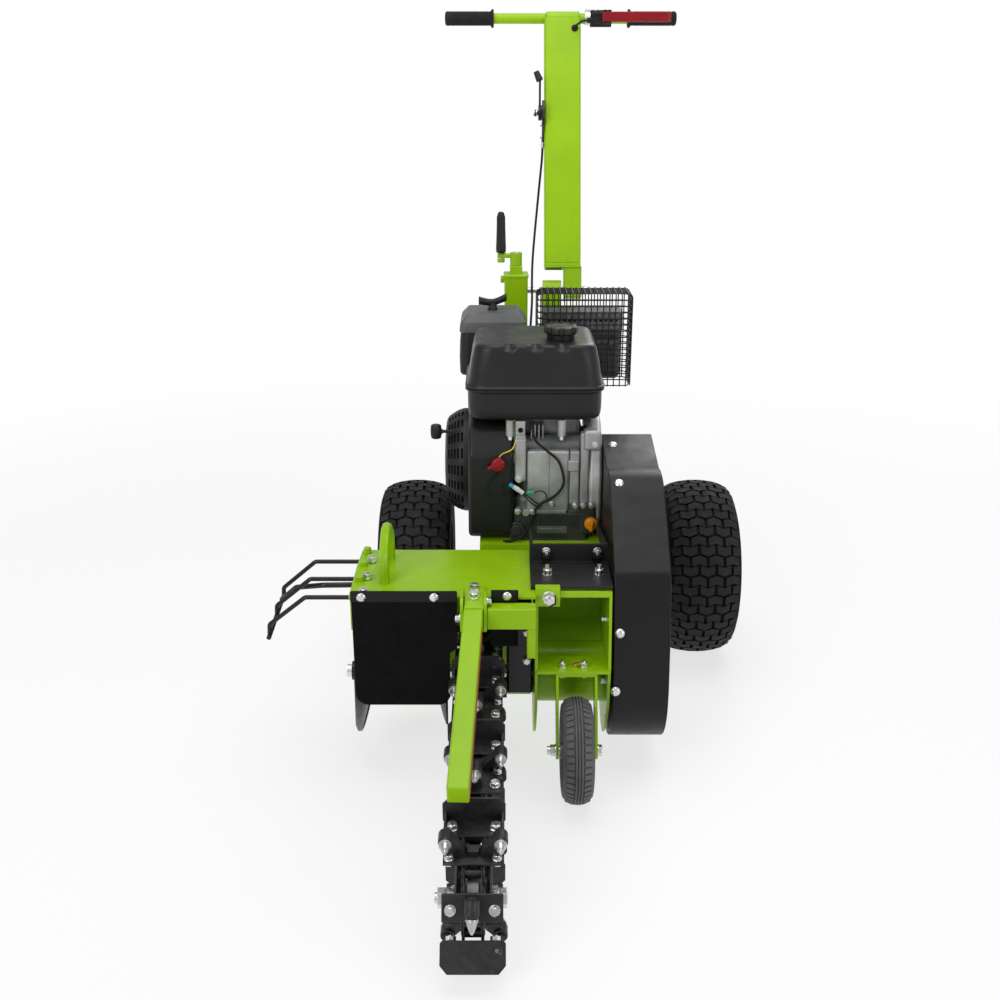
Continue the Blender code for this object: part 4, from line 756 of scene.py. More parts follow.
class TRENCHER_OT_jockey_wheel(bpy.types.Operator):
    """Small front wheel with a ribbed tyre, its fork and bolts"""

    bl_idname = "trencher.jockey_wheel"
    bl_label = "Jockey wheel"

    def execute(self, context):
        bm = bmesh.new()
        half = [(100.7, 1.3), (97.2, 1.7), (97.2, 3.5), (100.6, 4.0), (100.2, 7.0), (96.6, 7.6), (96.4, 9.6),
                (95.4, 13), (93.4, 19), (90.5, 24), (86, 28), (80, 29), (73, 27.2), (68, 24.5), (65, 25),
                (62, 22)]
        loop = [(r, -t) for r, t in reversed(half)] + half
        turning(bm, "X", [*loop, (58.4, 20), (58.4, -20)], JOCKEY, RIM_SIDES, closed=True)
        for k in range(LUGS):
            for side in (-1, 1):
                self.lug(bm, 2 * math.pi * (k + 0.25 * side) / LUGS, side)
        piece("jockey_tyre_ribbed", bm, "jockey_rubber", "jockey_wheel", ["jockey_tyre"], sharp=34)
        bm = bmesh.new()
        rim = [(8.7, -31), (15, -31), (15, -7), (20, -6), (46, -6), (52, -14), (54, -20), (57.8, -22.5)]
        turning(bm, "X", mirrored(rim), JOCKEY, 56, closed=True)
        x, y, z = JOCKEY
        for k in range(5):
            a = 2 * math.pi * k / 5
            at = y + 30 * math.cos(a), z + 30 * math.sin(a)
            bar(bm, (x - 8, *at), (x + 8, *at), 6, 16)
        piece("jockey_rim_pressed", bm, "grey_cast", "jockey_wheel", ["jockey_rim"])
        dressed("jockey_fork", "green")
        self.bolts()
        return {"FINISHED"}

    def bolts(self):
        """The wheel's bolt, the bolts of the fork and the grease nipple on its shelf."""
        x, y, z = JOCKEY
        bm = bmesh.new()
        bar(bm, (x - 56, y, z), (x + 41, y, z), 8, 28, None, 0.8)
        nut(bm, (x - 39.4, y, z), (-1, 0, 0), 19, 9)
        nut(bm, (x + 39.2, y, z), (1, 0, 0), 19, 7)
        piece("jockey_bolt", bm, "steel", "frame", ["jockey_axle"])
        bm = bmesh.new()
        for dx in (-26.5, 14.5):
            nut(bm, (x + dx, -300, 245), (0, 0, 1), 13, 8)
            bar(bm, (x + dx, -300, 254), (x + dx, -300, 259), 4, 16, 3.4)
            nut(bm, (x + dx, -300, 232.8), (0, 0, -1), 13.6, 8, washer=False)
        nut(bm, (176.4, -240, 316), (-1, 0, 0), 11, 7)
        nut(bm, (176.4, -262, 196), (-1, 0, 0), 11, 7)
        piece("fork_bolts", bm, "steel", "frame")
        bm = bmesh.new()
        bar(bm, (x - 3, -300, 244.5), (x - 3, -300, 251), 5, 6)
        bar(bm, (x - 3, -300, 250), (x + 9, -306, 256), 3.4, 14, 2.6)
        piece("grease_nipple", bm, "brass", "frame")

    def lug(self, bm, angle, side):
        """A block beside the tyre's ribs, its outer top edge brought down to the shoulder."""
        x, y, z = JOCKEY
        low, high = sorted((side * 9.6, side * 23))
        verts = block(bm, x + low, x + high, y - 4.7, y + 4.7, z + 88, z + 99.8)
        for vert in verts:
            if vert.co.z > (z + 96) * MM and abs(vert.co.x - (x + DRAWN.x) * MM) > 15 * MM:
                vert.co.z -= 5.6 * MM
        rotated(bm, verts, JOCKEY, "X", angle)


# Digging chain

CHORD_IN = 3.79  # how far the middle of a link lies inside the pitch circle on the turns
PICK_AIM = Vector((0, -1, 0.1)).normalized()
PAIR_PICKS, SINGLE_PICK = ((-42, 14, 42), (42, 14, 42)), ((0, 16, 42),)


def chain_place(link):
    """From a piece drawn at the origin, travelling along -Y with +Z out, to its place on the loop."""
    run, turn = RUN_LINKS, TEETH / 2
    link %= LINKS
    if link < run:
        angle, centre, slide = 0.0, DRIVE, link
    elif link < run + turn:
        angle, centre, slide = (link - run) / turn * math.pi, NOSE, 0.0
    elif link < 2 * run + turn:
        angle, centre, slide = math.pi, NOSE, link - run - turn
    else:
        angle, centre, slide = math.pi * (1 + (link - 2 * run - turn) / turn), DRIVE, 0.0
    turned = Matrix.Rotation(BOOM_SLOPE + angle, 4, "X")
    return (Matrix.Translation(spot(BOOM_X, *centre)) @ turned
            @ Matrix.Translation(Vector((0, -slide * PITCH, PITCH_R)) * MM))


def link_plate(bm, x0, x1):
    """A side plate with round ends and a drawn-in waist, between two pins."""
    outline = []
    for end in (-1, 1):
        for k in range(7):
            a = math.pi * (k / 6 - 0.5) * 1.16 + (0 if end > 0 else math.pi)
            outline.append((end * PITCH / 2 + 13 * math.cos(a), 13 * math.sin(a)))
    plate(bm, "X", outline, x0, x1, 0.7, 1)


class TRENCHER_OT_digging_chain(bpy.types.Operator):
    """Roller chain with digging cups, paired picks and single picks, all carbide tipped"""

    bl_idname = "trencher.digging_chain"
    bl_label = "Digging chain"

    def execute(self, context):
        links, pins = bmesh.new(), bmesh.new()
        half = RUN_LINKS + TEETH / 2
        for i in range(LINKS):
            middle = chain_place(i + 0.5)
            if RUN_LINKS < (i + 0.5) % half < half:
                middle = middle @ Matrix.Translation((0, 0, -CHORD_IN * MM))
            laid(links, middle, self.outer_plates if i % 2 else self.inner_plates)
            laid(pins, chain_place(i), self.pin)
        piece("chain_links", links, "chain_black", "frame", ["digging_chain"])
        piece("chain_pins", pins, "dark_steel", "frame")
        black, bolts, tips = bmesh.new(), bmesh.new(), bmesh.new()
        for places, draw_plate, bolt, picks in (
            (CUP_AT, self.cup, (34, -8, 15, 7.5, 14, 6), ()),
            (PAIR_AT, self.pair, (37, -10, 13, 6.5, 13, 5), PAIR_PICKS),
            (SINGLE_AT, self.single, (33, -2, 14, 7, 13, 5), SINGLE_PICK),
        ):
            for at in places:
                place = chain_place(at)
                laid(black, place, draw_plate)
                laid(bolts, place, lambda fresh: self.base_bolts(fresh, *bolt))
                if picks:
                    laid(tips, place, lambda fresh: each(self.tip, fresh, picks))
        piece("cups_and_brackets", black, "chain_black", "frame")
        piece("cup_bolts", bolts, "steel", "frame")
        piece("pick_tips", tips, "carbide", "frame")
        return {"FINISHED"}

    def inner_plates(self, bm):
        for side in (-1, 1):
            link_plate(bm, side * 12.4, side * 14.4)
            bar(bm, (-12.3, side * PITCH / 2, 0), (12.3, side * PITCH / 2, 0), 7.4, 14)

    def outer_plates(self, bm):
        for side in (-1, 1):
            link_plate(bm, side * 14.9, side * 16.9)

    def pin(self, bm):
        bar(bm, (-18, 0, 0), (18, 0, 0), 5.2, 12, None, 0.5)
        bar(bm, (-18.6, 0, 0), (18.6, 0, 0), 3.2, 10)

    def base(self, bm, half, y0, y1):
        """The plate across the chain and the two tabs that hold it to a link."""
        block(bm, -half, half, y0, y1, 13.4, 17.4, 1.0, 1)
        for side in (-1, 1):
            block(bm, side * 14.2, side * 17.2, y0 + 3, y1 - 3, 2, 15, 0.6, 1)

    def cup(self, bm):
        """The base plate and the upright edge that carries the soil, its corners cut off."""
        self.base(bm, 48, -26, 13)
        edge = [(-50, 15), (-46, 11), (46, 11), (50, 15), (50, 47), (39, 59.5), (-39, 59.5), (-50, 47)]
        plate(bm, "Y", edge, 12, 17, 1.0, 2)
        for side in (-1, 1):
            rib = [(12.4, 16), (-18, 16.5), (-18, 19), (12.4, 34)]
            plate(bm, "X", rib, side * 47.5, side * 43.5, 0.6, 1)

    def base_bolts(self, bm, reach, y, head, head_height, across, height):
        """Two bolts through the base plate, with their nuts under it."""
        for x in (-reach, reach):
            nut(bm, (x, y, 17.4), (0, 0, 1), head, head_height)
            stud(bm, (x, y, 13.2), (0, 0, -1), across, height, 2)

    def pair(self, bm):
        self.base(bm, 46, -22, 20)
        for side in (-1, 1):
            arm = [(side * 7, 15), (side * 27, 15), (side * 35, 22), (side * 50, 36), (side * 50, 42),
                   (side * 42, 50), (side * 34, 50), (side * 18, 33)]
            plate(bm, "Y", arm, -6, 12, 1.2, 2)
            self.holder(bm, side * 42, 14, 42)
        block(bm, -9, 9, -5, 11, 15, 27, 1.5, 2)

    def single(self, bm):
        self.base(bm, 46, -20, 22)
        block(bm, -12, 12, -8, 16, 15, 34, 2.2, 2)
        self.holder(bm, 0, 16, 42)

    def holder(self, bm, x, y, z):
        """The round boss that a pick sits in."""
        start, aim = Vector((x, y, z)), PICK_AIM
        bar(bm, start - aim * 3, start + aim * 19, 11.5, 22, None, 1.2)
        bar(bm, start + aim * 18.6, start + aim * 24, 10.6, 22, 8.6)
        bar(bm, start - aim * 6.5, start - aim * 2.5, 6.5, 18, None, 0.6)

    def tip(self, bm, x, y, z):
        """A pick's washer, its tapered body and the hard point."""
        start, aim = Vector((x, y, z)), PICK_AIM
        bar(bm, start + aim * 23.8, start + aim * 26.4, 10, 22, None, 0.7)
        bar(bm, start + aim * 26, start + aim * 28.6, 9.2, 22, None, 0.7)
        bar(bm, start + aim * 28, start + aim * 38.5, 8.4, 22, 5.4)
        bar(bm, start + aim * 38, start + aim * 41.5, 4.8, 18, 4.5)
        bar(bm, start + aim * 41.4, start + aim * 46, 4.4, 18, 1.6)


class TRENCHER_OT_boom(bpy.types.Operator):
    """Boom bar, nose roller with its bolt, chain case, safety bar and spoil auger"""

    bl_idname = "trencher.boom"
    bl_label = "Boom"

    def execute(self, context):
        dressed("boom_bar", "gloss_black")
        bm = bmesh.new()
        rim = PITCH_R - 9.5
        wheel = [(8.6, -19), (19, -19), (20, -18), (20, -13), (27, -11), (34, -11.4), (37, -8), (rim, -8.6)]
        turning(bm, "X", mirrored(wheel), (BOOM_X, *NOSE), 56, closed=True)
        piece("nose_wheel", bm, "grey_cast", "nose", ["nose_roller"])
        bm = bmesh.new()
        x = BOOM_X
        bar(bm, (x - 60, *NOSE), (x + 50, *NOSE), 8, 28, None, 0.8)
        for side in (-1, 1):
            bar(bm, (x + 29.4 * side, *NOSE), (x + 37.6 * side, *NOSE), 14.5, 32, None, 0.8)
        nut(bm, (x - 37.4, *NOSE), (-1, 0, 0), 27, 16)
        nut(bm, (x + 37.4, *NOSE), (1, 0, 0), 27, 13)
        piece("nose_bolt", bm, "steel", "frame", ["nose_axle"])
        painted("chain_case", "gloss_black")
        painted("drive_sprocket", "dark_cast")
        self.safety_bar()
        self.auger()
        return {"FINISHED"}

    def safety_bar(self):
        """The square bar over the chain, its strap to the deck, the two cheeks and the cross tube."""
        start, end = Vector((-74.5, -326, 385.5)), Vector((-92, -754, 266))
        lie = (end - start).to_track_quat("-Y", "Z").to_matrix().to_4x4()
        place = Matrix.Translation(spot(*start)) @ lie
        long = (end - start).length
        bm = bmesh.new()
        laid(bm, place, lambda fresh: block(fresh, -17.5, 17.5, -long, 0, -17.5, 17.5, 3.4, 3))
        strap = [(-360, 391.6), (-328, 400.6), (-282, 400.6), (-282, 405.6), (-329, 405.6), (-361, 396.6)]
        plate(bm, "X", strap, -92, -57, 0.8, 1)
        piece("safety_bar_tube", bm, "green", "frame", ["safety_bar"])
        bm = bmesh.new()
        cheek = [(-317.6, 411), (-317.6, 350), (-322, 345), (-354, 345), (-359, 350), (-359, 402),
                 (-350, 411)]
        for x in (-100, -57.3):
            plate(bm, "X", cheek, x, x + 6, 1, 2)
        each(block, bm, (
            (-51.4, 38.3, -356, -324.8, 350, 391, 3, 3), (22, 38.3, -350, -316, 288, 352, 2, 2),
            (-95, -56, -354, -330, 345.5, 351, 1, 1)))
        piece("bar_cheeks", bm, "green", "frame", ["bar_bracket"])
        bm = bmesh.new()
        each(nut, bm, (
            ((-74.7, -297, 405.2), (0, 0, 1), 16, 9), ((-75.2, -331, 405.0), (0, -0.2, 1), 16, 9),
            ((-100.4, -340, 366), (-1, 0, 0), 13, 7), ((-51.2, -340, 400), (1, 0, 0), 12, 6)))
        piece("bar_bolts", bm, "steel", "frame")
        bm = bmesh.new()
        laid(bm, place, lambda fresh: block(fresh, 17.2, 18.1, -long + 6, -70, -15, 9, 0.3, 1))
        piece("bar_primer_edge", bm, "primer", "frame")

    def auger(self):
        """The spoil auger: one turn of a helical blade on a tube, swept by a screw motion."""
        length, steps, first = 184, 96, 0.07
        bm = bmesh.new()
        centre = spot(-320, *DRIVE)
        out = Vector((0, -math.sin(first), -math.cos(first)))
        inner, rim = (bm.verts.new(centre + out * r * MM) for r in (15, 119.5))
        blade = bm.edges.new((inner, rim))
        bmesh.ops.spin(
            bm, geom=[inner, rim, blade], cent=centre, axis=(1, 0, 0), dvec=(length * MM / steps, 0, 0),
            angle=-2 * math.pi, steps=steps, use_merge=False, use_duplicate=False)
        bmesh.ops.remove_doubles(bm, verts=bm.verts, dist=MERGE)
        bmesh.ops.solidify(bm, geom=bm.faces[:], thickness=4 * MM)
        hub = [(12.8, -322), (19, -322), (19, -134), (12.8, -134)]
        turning(bm, "X", hub, (0, *DRIVE), 40, closed=True)
        piece("auger_screw", bm, "gloss_black", "drive", ["auger"], sharp=40)
        painted("drive_shaft", "steel")


# Engine


def loft(bm, rings):
    """A closed skin through rings of places, each with the same number of points."""
    loops = []
    for ring in rings:
        verts = [bm.verts.new(spot(*place)) for place in ring]
        loops.append([bm.edges.new(pair) for pair in zip(verts, verts[1:] + verts[:1])])
    for low, high in zip(loops, loops[1:]):
        bmesh.ops.bridge_loops(bm, edges=low + high)
    for edges in (loops[0], loops[-1]):
        bmesh.ops.contextual_create(bm, geom=edges)


def ring_of(x0, x1, y0, y1, z, radius, along=0, corner=6):
    """A rounded rectangle at a height, starting at its front left; along adds points to its front edge."""
    places = [(x0 + radius + (x1 - x0 - 2 * radius) * k / (along + 1), y0, z) for k in range(1, along + 1)]
    for cx, cy, first in ((x1 - radius, y0 + radius, -90), (x1 - radius, y1 - radius, 0),
                          (x0 + radius, y1 - radius, 90), (x0 + radius, y0 + radius, 180)):
        for k in range(corner + 1):
            a = math.radians(first + 90 * k / corner)
            places.append((cx + radius * math.cos(a), cy + radius * math.sin(a), z))
    return places


def insets(box, levels, along=0):
    """Rings of a box's outline, each drawn in by d at the height z, with corners of radius r."""
    x0, x1, y0, y1 = box
    return [ring_of(x0 + d, x1 - d, y0 + d, y1 - d, z, r, along) for d, z, r in levels]


class TRENCHER_OT_tank(bpy.types.Operator):
    """Pressed fuel tank in two halves with a seam flange and dented top edge, and its scalloped cap"""

    bl_idname = "trencher.tank"
    bl_label = "Fuel tank"

    def execute(self, context):
        *box, seam = TANK
        x0, x1, y0, y1 = box
        front = 71  # points along the front edge, close enough together for its dents
        bm = bmesh.new()
        loft(bm, insets(box, (
            (22, 631.3, 20), (14, 632.6, 26), (9, 636, 31), (6.6, 642, 34), (5.6, 652, 35), (5.2, 668, 36),
            (5, seam - 9, 36), (4, seam - 6.5, 37), (0.8, seam - 5, 38), (0, seam - 4, 38),
            (0, seam - 1.4, 38), (0.8, seam - 0.4, 38))))
        piece("tank_bottom", bm, "tank_paint", "frame", ["tank_lower"], sharp=60)
        bm = bmesh.new()
        rings = insets(box, (
            (0.8, seam + 0.4, 38), (0, seam + 1.4, 38), (0, seam + 4, 38), (0.9, seam + 5.2, 38)), front)
        top = 787.0
        for d, z, r in (
            (3.4, seam + 6.2, 37), (5, seam + 8.6, 36), (8, 722, 36), (12, 750, 36), (16.6, 771, 36),
            (18.4, 777.5, 35), (21.4, 782.5, 33), (26, 785.8, 30), (32, top, 26),
        ):
            slope = 0.62 if z > 720 else 1.0
            rings.append(self.dented(ring_of(x0 + d, x1 - d, y0 + d * slope, y1 - d * slope, z, r, front)))
        rings.append([(x * 0.96 + 2, y * 0.95 + 7.2, top + 0.6) for x, y, z in ring_of(
            x0 + 36, x1 - 36, y0 + 26, y1 - 26, top, 24, front)])
        loft(bm, rings)
        bar(bm, (*TANK_CAP, 780), (*TANK_CAP, 788.4), 27, 48, 26)
        piece("tank_top", bm, "tank_paint", "frame", ["tank_upper"], sharp=50)
        bm = bmesh.new()
        loft(bm, [self.scalloped(*level) for level in (
            (29, 0, 0), (29, 9, 0), (34, 11.5, 0.7), (36, 13.5, 1), (36, 22, 1), (35, 24.3, 1),
            (32.5, 25.6, 0.75), (27, 26, 0.2), (26, 25, 0), (8, 25, 0), (7, 25.8, 0))])
        piece("tank_cap_scalloped", bm, "engine_plastic", "tank_cap", ["fuel_cap"], sharp=44)
        return {"FINISHED"}

    def scalloped(self, radius, lift, depth):
        """A ring of the cap with eight finger hollows; depth 0 leaves it round."""
        x, y, z = *TANK_CAP, 788.6
        ring = []
        for k in range(96):
            a = 2 * math.pi * k / 96
            r = radius - max(0.0, math.cos(8 * a)) ** 0.7 * 5.2 * depth
            ring.append((x + r * math.cos(a), y + r * math.sin(a), z + lift))
        return ring

    def dented(self, ring):
        """Pushes the upper front edge in where the pressed dents are, less and less down to their foot."""
        middles, half_width, foot, height, front = (-11, 43, 97), 19, 773, 11, 60
        made = []
        for x, y, z in ring:
            rise = min(1.0, max(0.0, (z - foot) / height))
            for middle in middles:
                reach = abs(x - middle) / half_width
                if reach < 1 and y < front:
                    bowl = 0.5 + 0.5 * math.cos(math.pi * reach)
                    y += 7 * bowl * rise
                    z -= 4.5 * bowl * rise
            made.append((x, y, z))
        return made


class TRENCHER_OT_air_filter(bpy.types.Operator):
    """Air filter box with a paler chamfered lid and its wing knob"""

    bl_idname = "trencher.air_filter"
    bl_label = "Air filter"

    def execute(self, context):
        bm = bmesh.new()
        loft(bm, insets(FILTER, (
            (12, 655.4, 12), (5, 658, 16), (2, 663, 18), (1, 700, 20), (2.4, 735, 20), (4, 752, 19),
            (5, 754, 18))))
        block(bm, -70, 13.6, 331, 410, 590, 665, 5, 3)
        piece("filter_box", bm, "engine_plastic", "frame", ["air_filter"], sharp=50)
        bm = bmesh.new()
        loft(bm, insets(FILTER, (
            (3.2, 754.6, 13), (1.6, 756, 14), (1.6, 764, 14), (4.6, 776.4, 11), (5.6, 778.4, 10),
            (19, 793.2, 6), (20.6, 794.5, 5), (23, 794.9, 4))))
        piece("filter_lid", bm, "filter_plastic", "frame", sharp=30)
        bm = bmesh.new()
        stem = [(0, 0), (12, 0), (12, 2), (9.5, 4), (9, 12), (7.6, 15), (0, 15)]
        turning(bm, "Z", stem, (-44, 386, 795.4), 32)
        middle = [(-76, 380, 816), (-71, 381, 815.2), (-44, 386, 811), (-17, 391.4, 820), (-12, 392.4, 821.8)]
        rings = []
        girths = (6.6, 9.4, 9.8, 9, 8.4, 8, 7.8, 8, 8.4, 8.8, 8.8, 8.2, 6.4)
        for place, r in zip(flowing(middle, 3), girths):
            rings.append([(place.x, place.y + r * math.cos(math.pi * i / 10),
                           place.z + r * math.sin(math.pi * i / 10)) for i in range(20)])
        loft(bm, rings)
        piece("filter_wing", bm, "engine_plastic", "filter_wing_knob", ["filter_knob"], sharp=48)
        return {"FINISHED"}


class TRENCHER_OT_muffler(bpy.types.Operator):
    """Muffler with pressed ribs inside its cage of round wires"""

    bl_idname = "trencher.muffler"
    bl_label = "Muffler and cage"

    def execute(self, context):
        bm = bmesh.new()
        block(bm, 74, 256, 436, 500, 618, 778, 14, 4)
        for i in range(6):
            z = 640 + 22 * i
            block(bm, 84, 246, 434.4, 438, z - 4.4, z + 4.4, 2, 2)
            block(bm, 84, 246, 498, 503.5, z - 5, z + 5, 2.4, 2)
            block(bm, 254.5, 257.6, 446, 490, z - 4.4, z + 4.4, 1.3, 2)
        each(block, bm, ((76, 254, 427.6, 437.5, 704, 716, 1.2, 2), (106, 134, 437, 447, 604, 632, 3, 2)))
        bar(bm, (120, 416.6, 605), (120, 447, 605), 14, 28, None, 1)
        for x in (88, 232):
            nut(bm, (x, 427.8, 710), (0, -1, 0), 11, 6)
        piece("muffler_can", bm, "muffler_grey", "frame", ["muffler"])
        bm = bmesh.new()
        each(block, bm, ((72, 258, 431, 505, 775, 780.6, 2, 2), (72, 258, 430.6, 434.4, 738, 779, 1.4, 2)))
        piece("heat_shield", bm, "shield_grey", "frame")
        # dark discs on the heat shield where its holes are: painted shade
        bm = bmesh.new()
        for k in range(14):
            bar(bm, (87 + 12 * k, 430.9, 761), (87 + 12 * k, 430.2, 761), 4, 14)
        piece("shield_hole_shade", bm, "painted_shade_rubber", "frame")
        self.cage()
        return {"FINISHED"}

    def cage(self):
        """Level hoops, and upright wires bent over the top from front to back and from side to side."""
        x0, x1, y0, y1, z0, z1 = 57.0, 282.0, 424.0, 520.0, 604.0, 826.0
        hoops, lengthways, crossways, bend = 15, 15, 6, 13
        r = sizes().cage_wire / MM
        bm = bmesh.new()
        for k in range(hoops):
            z = z0 + r + (z1 - 4 * r - z0) * k / hoops
            hoop = ring_of(x0 + 3 * r, x1 - 3 * r, y0 + 3 * r, y1 - 3 * r, z, bend, 0, 3)
            tube(bm, hoop, r, 1, True)
        for k in range(lengthways):
            x = x0 + bend + (x1 - x0 - 2 * bend) * k / (lengthways - 1)
            path = [(x, y0 + r, z0), (x, y0 + r, z1 - r), (x, y1 - r, z1 - r), (x, y1 - r, z0)]
            tube(bm, bent(path, bend, 4), r, 1)
        for k in range(crossways):
            y = y0 + bend + (y1 - y0 - 2 * bend) * k / (crossways - 1)
            path = [(x0 + r, y, z0), (x0 + r, y, z1 - 3 * r), (x1 - r, y, z1 - 3 * r), (x1 - r, y, z0)]
            tube(bm, bent(path, bend, 4), r, 1)
        piece("cage_wires", bm, "cage_black", "frame", ["muffler_guard"], sharp=60)


class TRENCHER_OT_blower(bpy.types.Operator):
    """Blower housing, slotted recoil starter cover with its handle, and the red engine switch"""

    bl_idname = "trencher.blower"
    bl_label = "Blower and starter"

    def execute(self, context):
        bm = bmesh.new()
        shroud = [(29, 385), (29, 560), (60, 610), (120, 627), (290, 627), (330, 600), (330, 430), (290, 372),
                  (45, 372)]
        plate(bm, "X", shroud, -94, 1.7, 12, 5)
        piece("blower_shell", bm, "engine_plastic", "frame", ["blower_housing"], sharp=60)
        self.cover()
        self.starter()
        self.switch()
        return {"FINISHED"}

    def starter(self):
        """The pull handle's grip with the neck that goes into the cover."""
        bm = bmesh.new()
        pull = [(0, -15), (8, -15), (10.6, -13.4), (11.8, -6), (12, 0), (11.8, 6), (10.6, 13.4), (8, 15),
                (0, 15)]
        turning(bm, "Z", pull, (-163, 108, 588), 36)
        bar(bm, (-160, 108, 588), (-126, 108, 588), 4, 18, 3)
        bar(bm, (-153, 108, 588), (-149, 108, 588), 6.2, 20, 5)
        piece("starter_pull", bm, "engine_plastic", "starter_handle", ["recoil_handle"], sharp=50)

    def switch(self):
        """The red knob with its pointer and the raised bar across its face."""
        bm = bmesh.new()
        knob = [(0, 0), (7, 0), (7, -6.5), (14, -7.4), (14.4, -9), (14.4, -15), (13, -17.6), (9.6, -19),
                (0, -19)]
        turning(bm, "Y", knob, (-31, 28.7, 544), 40)
        nose = [(-42, 545), (-54, 537), (-52, 533), (-40.5, 535)]
        plate(bm, "Y", nose, 12.5, 21, 1.4, 2)
        verts = block(bm, -42, -20, 8.2, 12, 541.8, 546.2, 1.4, 2)
        rotated(bm, verts, (-31, 10, 544), "Y", -0.5)
        piece("engine_switch_knob", bm, "red", "engine_switch", ["kill_switch"], sharp=45)

    def cover(self):
        """The recoil cover's dish, with slots sunk into its face and round its side, their bottoms darkened
        as painted shade.
        """
        steps, middle = 96, (-94.3, *CRANK)
        side = [(96, -43), (98.6, -39.5), (100.6, -36.5), (102.6, -33.5), (104.6, -30.5), (106.6, -27),
                (108.6, -23.5), (110, -19.5), (111.4, -15.5), (112.6, -11), (113, -6), (113, 0)]
        profile = [(0, -51.6), (20, -51.6), (23, -50.4), (34, -50.6), (56, -51), (63, -51.2), (82, -49.6),
                   (89, -47.8), (93, -45.6), *side, (0, 0)]
        bm = bmesh.new()
        turning(bm, "X", profile, middle, steps)
        bmesh.ops.recalc_face_normals(bm, faces=bm.faces)
        axis = spot(*middle)
        slots = []
        for face in bm.faces:
            at = (face.calc_center_median() - axis) / MM
            r, turn = math.hypot(at.y, at.z), math.degrees(math.atan2(at.z, at.y)) % 360
            step = int(turn * steps / 360)
            on_face = (34 < r < 56 or 63 < r < 82) and step % 3 == 0 and step % 24 < 20
            on_side = any(a[0] < r < b[0] for a, b in zip(side[0::2], side[1::2])) and step % 5 < 3
            if on_face or on_side and at.x > -44:
                slots.append(face)
        bmesh.ops.inset_region(bm, faces=slots, thickness=0.5 * MM, depth=-4 * MM, use_boundary=True,
                               use_even_offset=True)
        # the slots' bottoms take the darker finish: painted shade
        for face in slots:
            face.material_index = 1
        bar(bm, (-145.4, *CRANK), (-147.6, *CRANK), 12, 32, None, 0.8)
        made = piece(
            "recoil_slotted", bm, "engine_plastic", "frame", ["recoil_cover"], sharp=30)
        # second slot: the painted shade of the slots' bottoms
        made.data.materials.append(FINISH["painted_shade_rubber"])


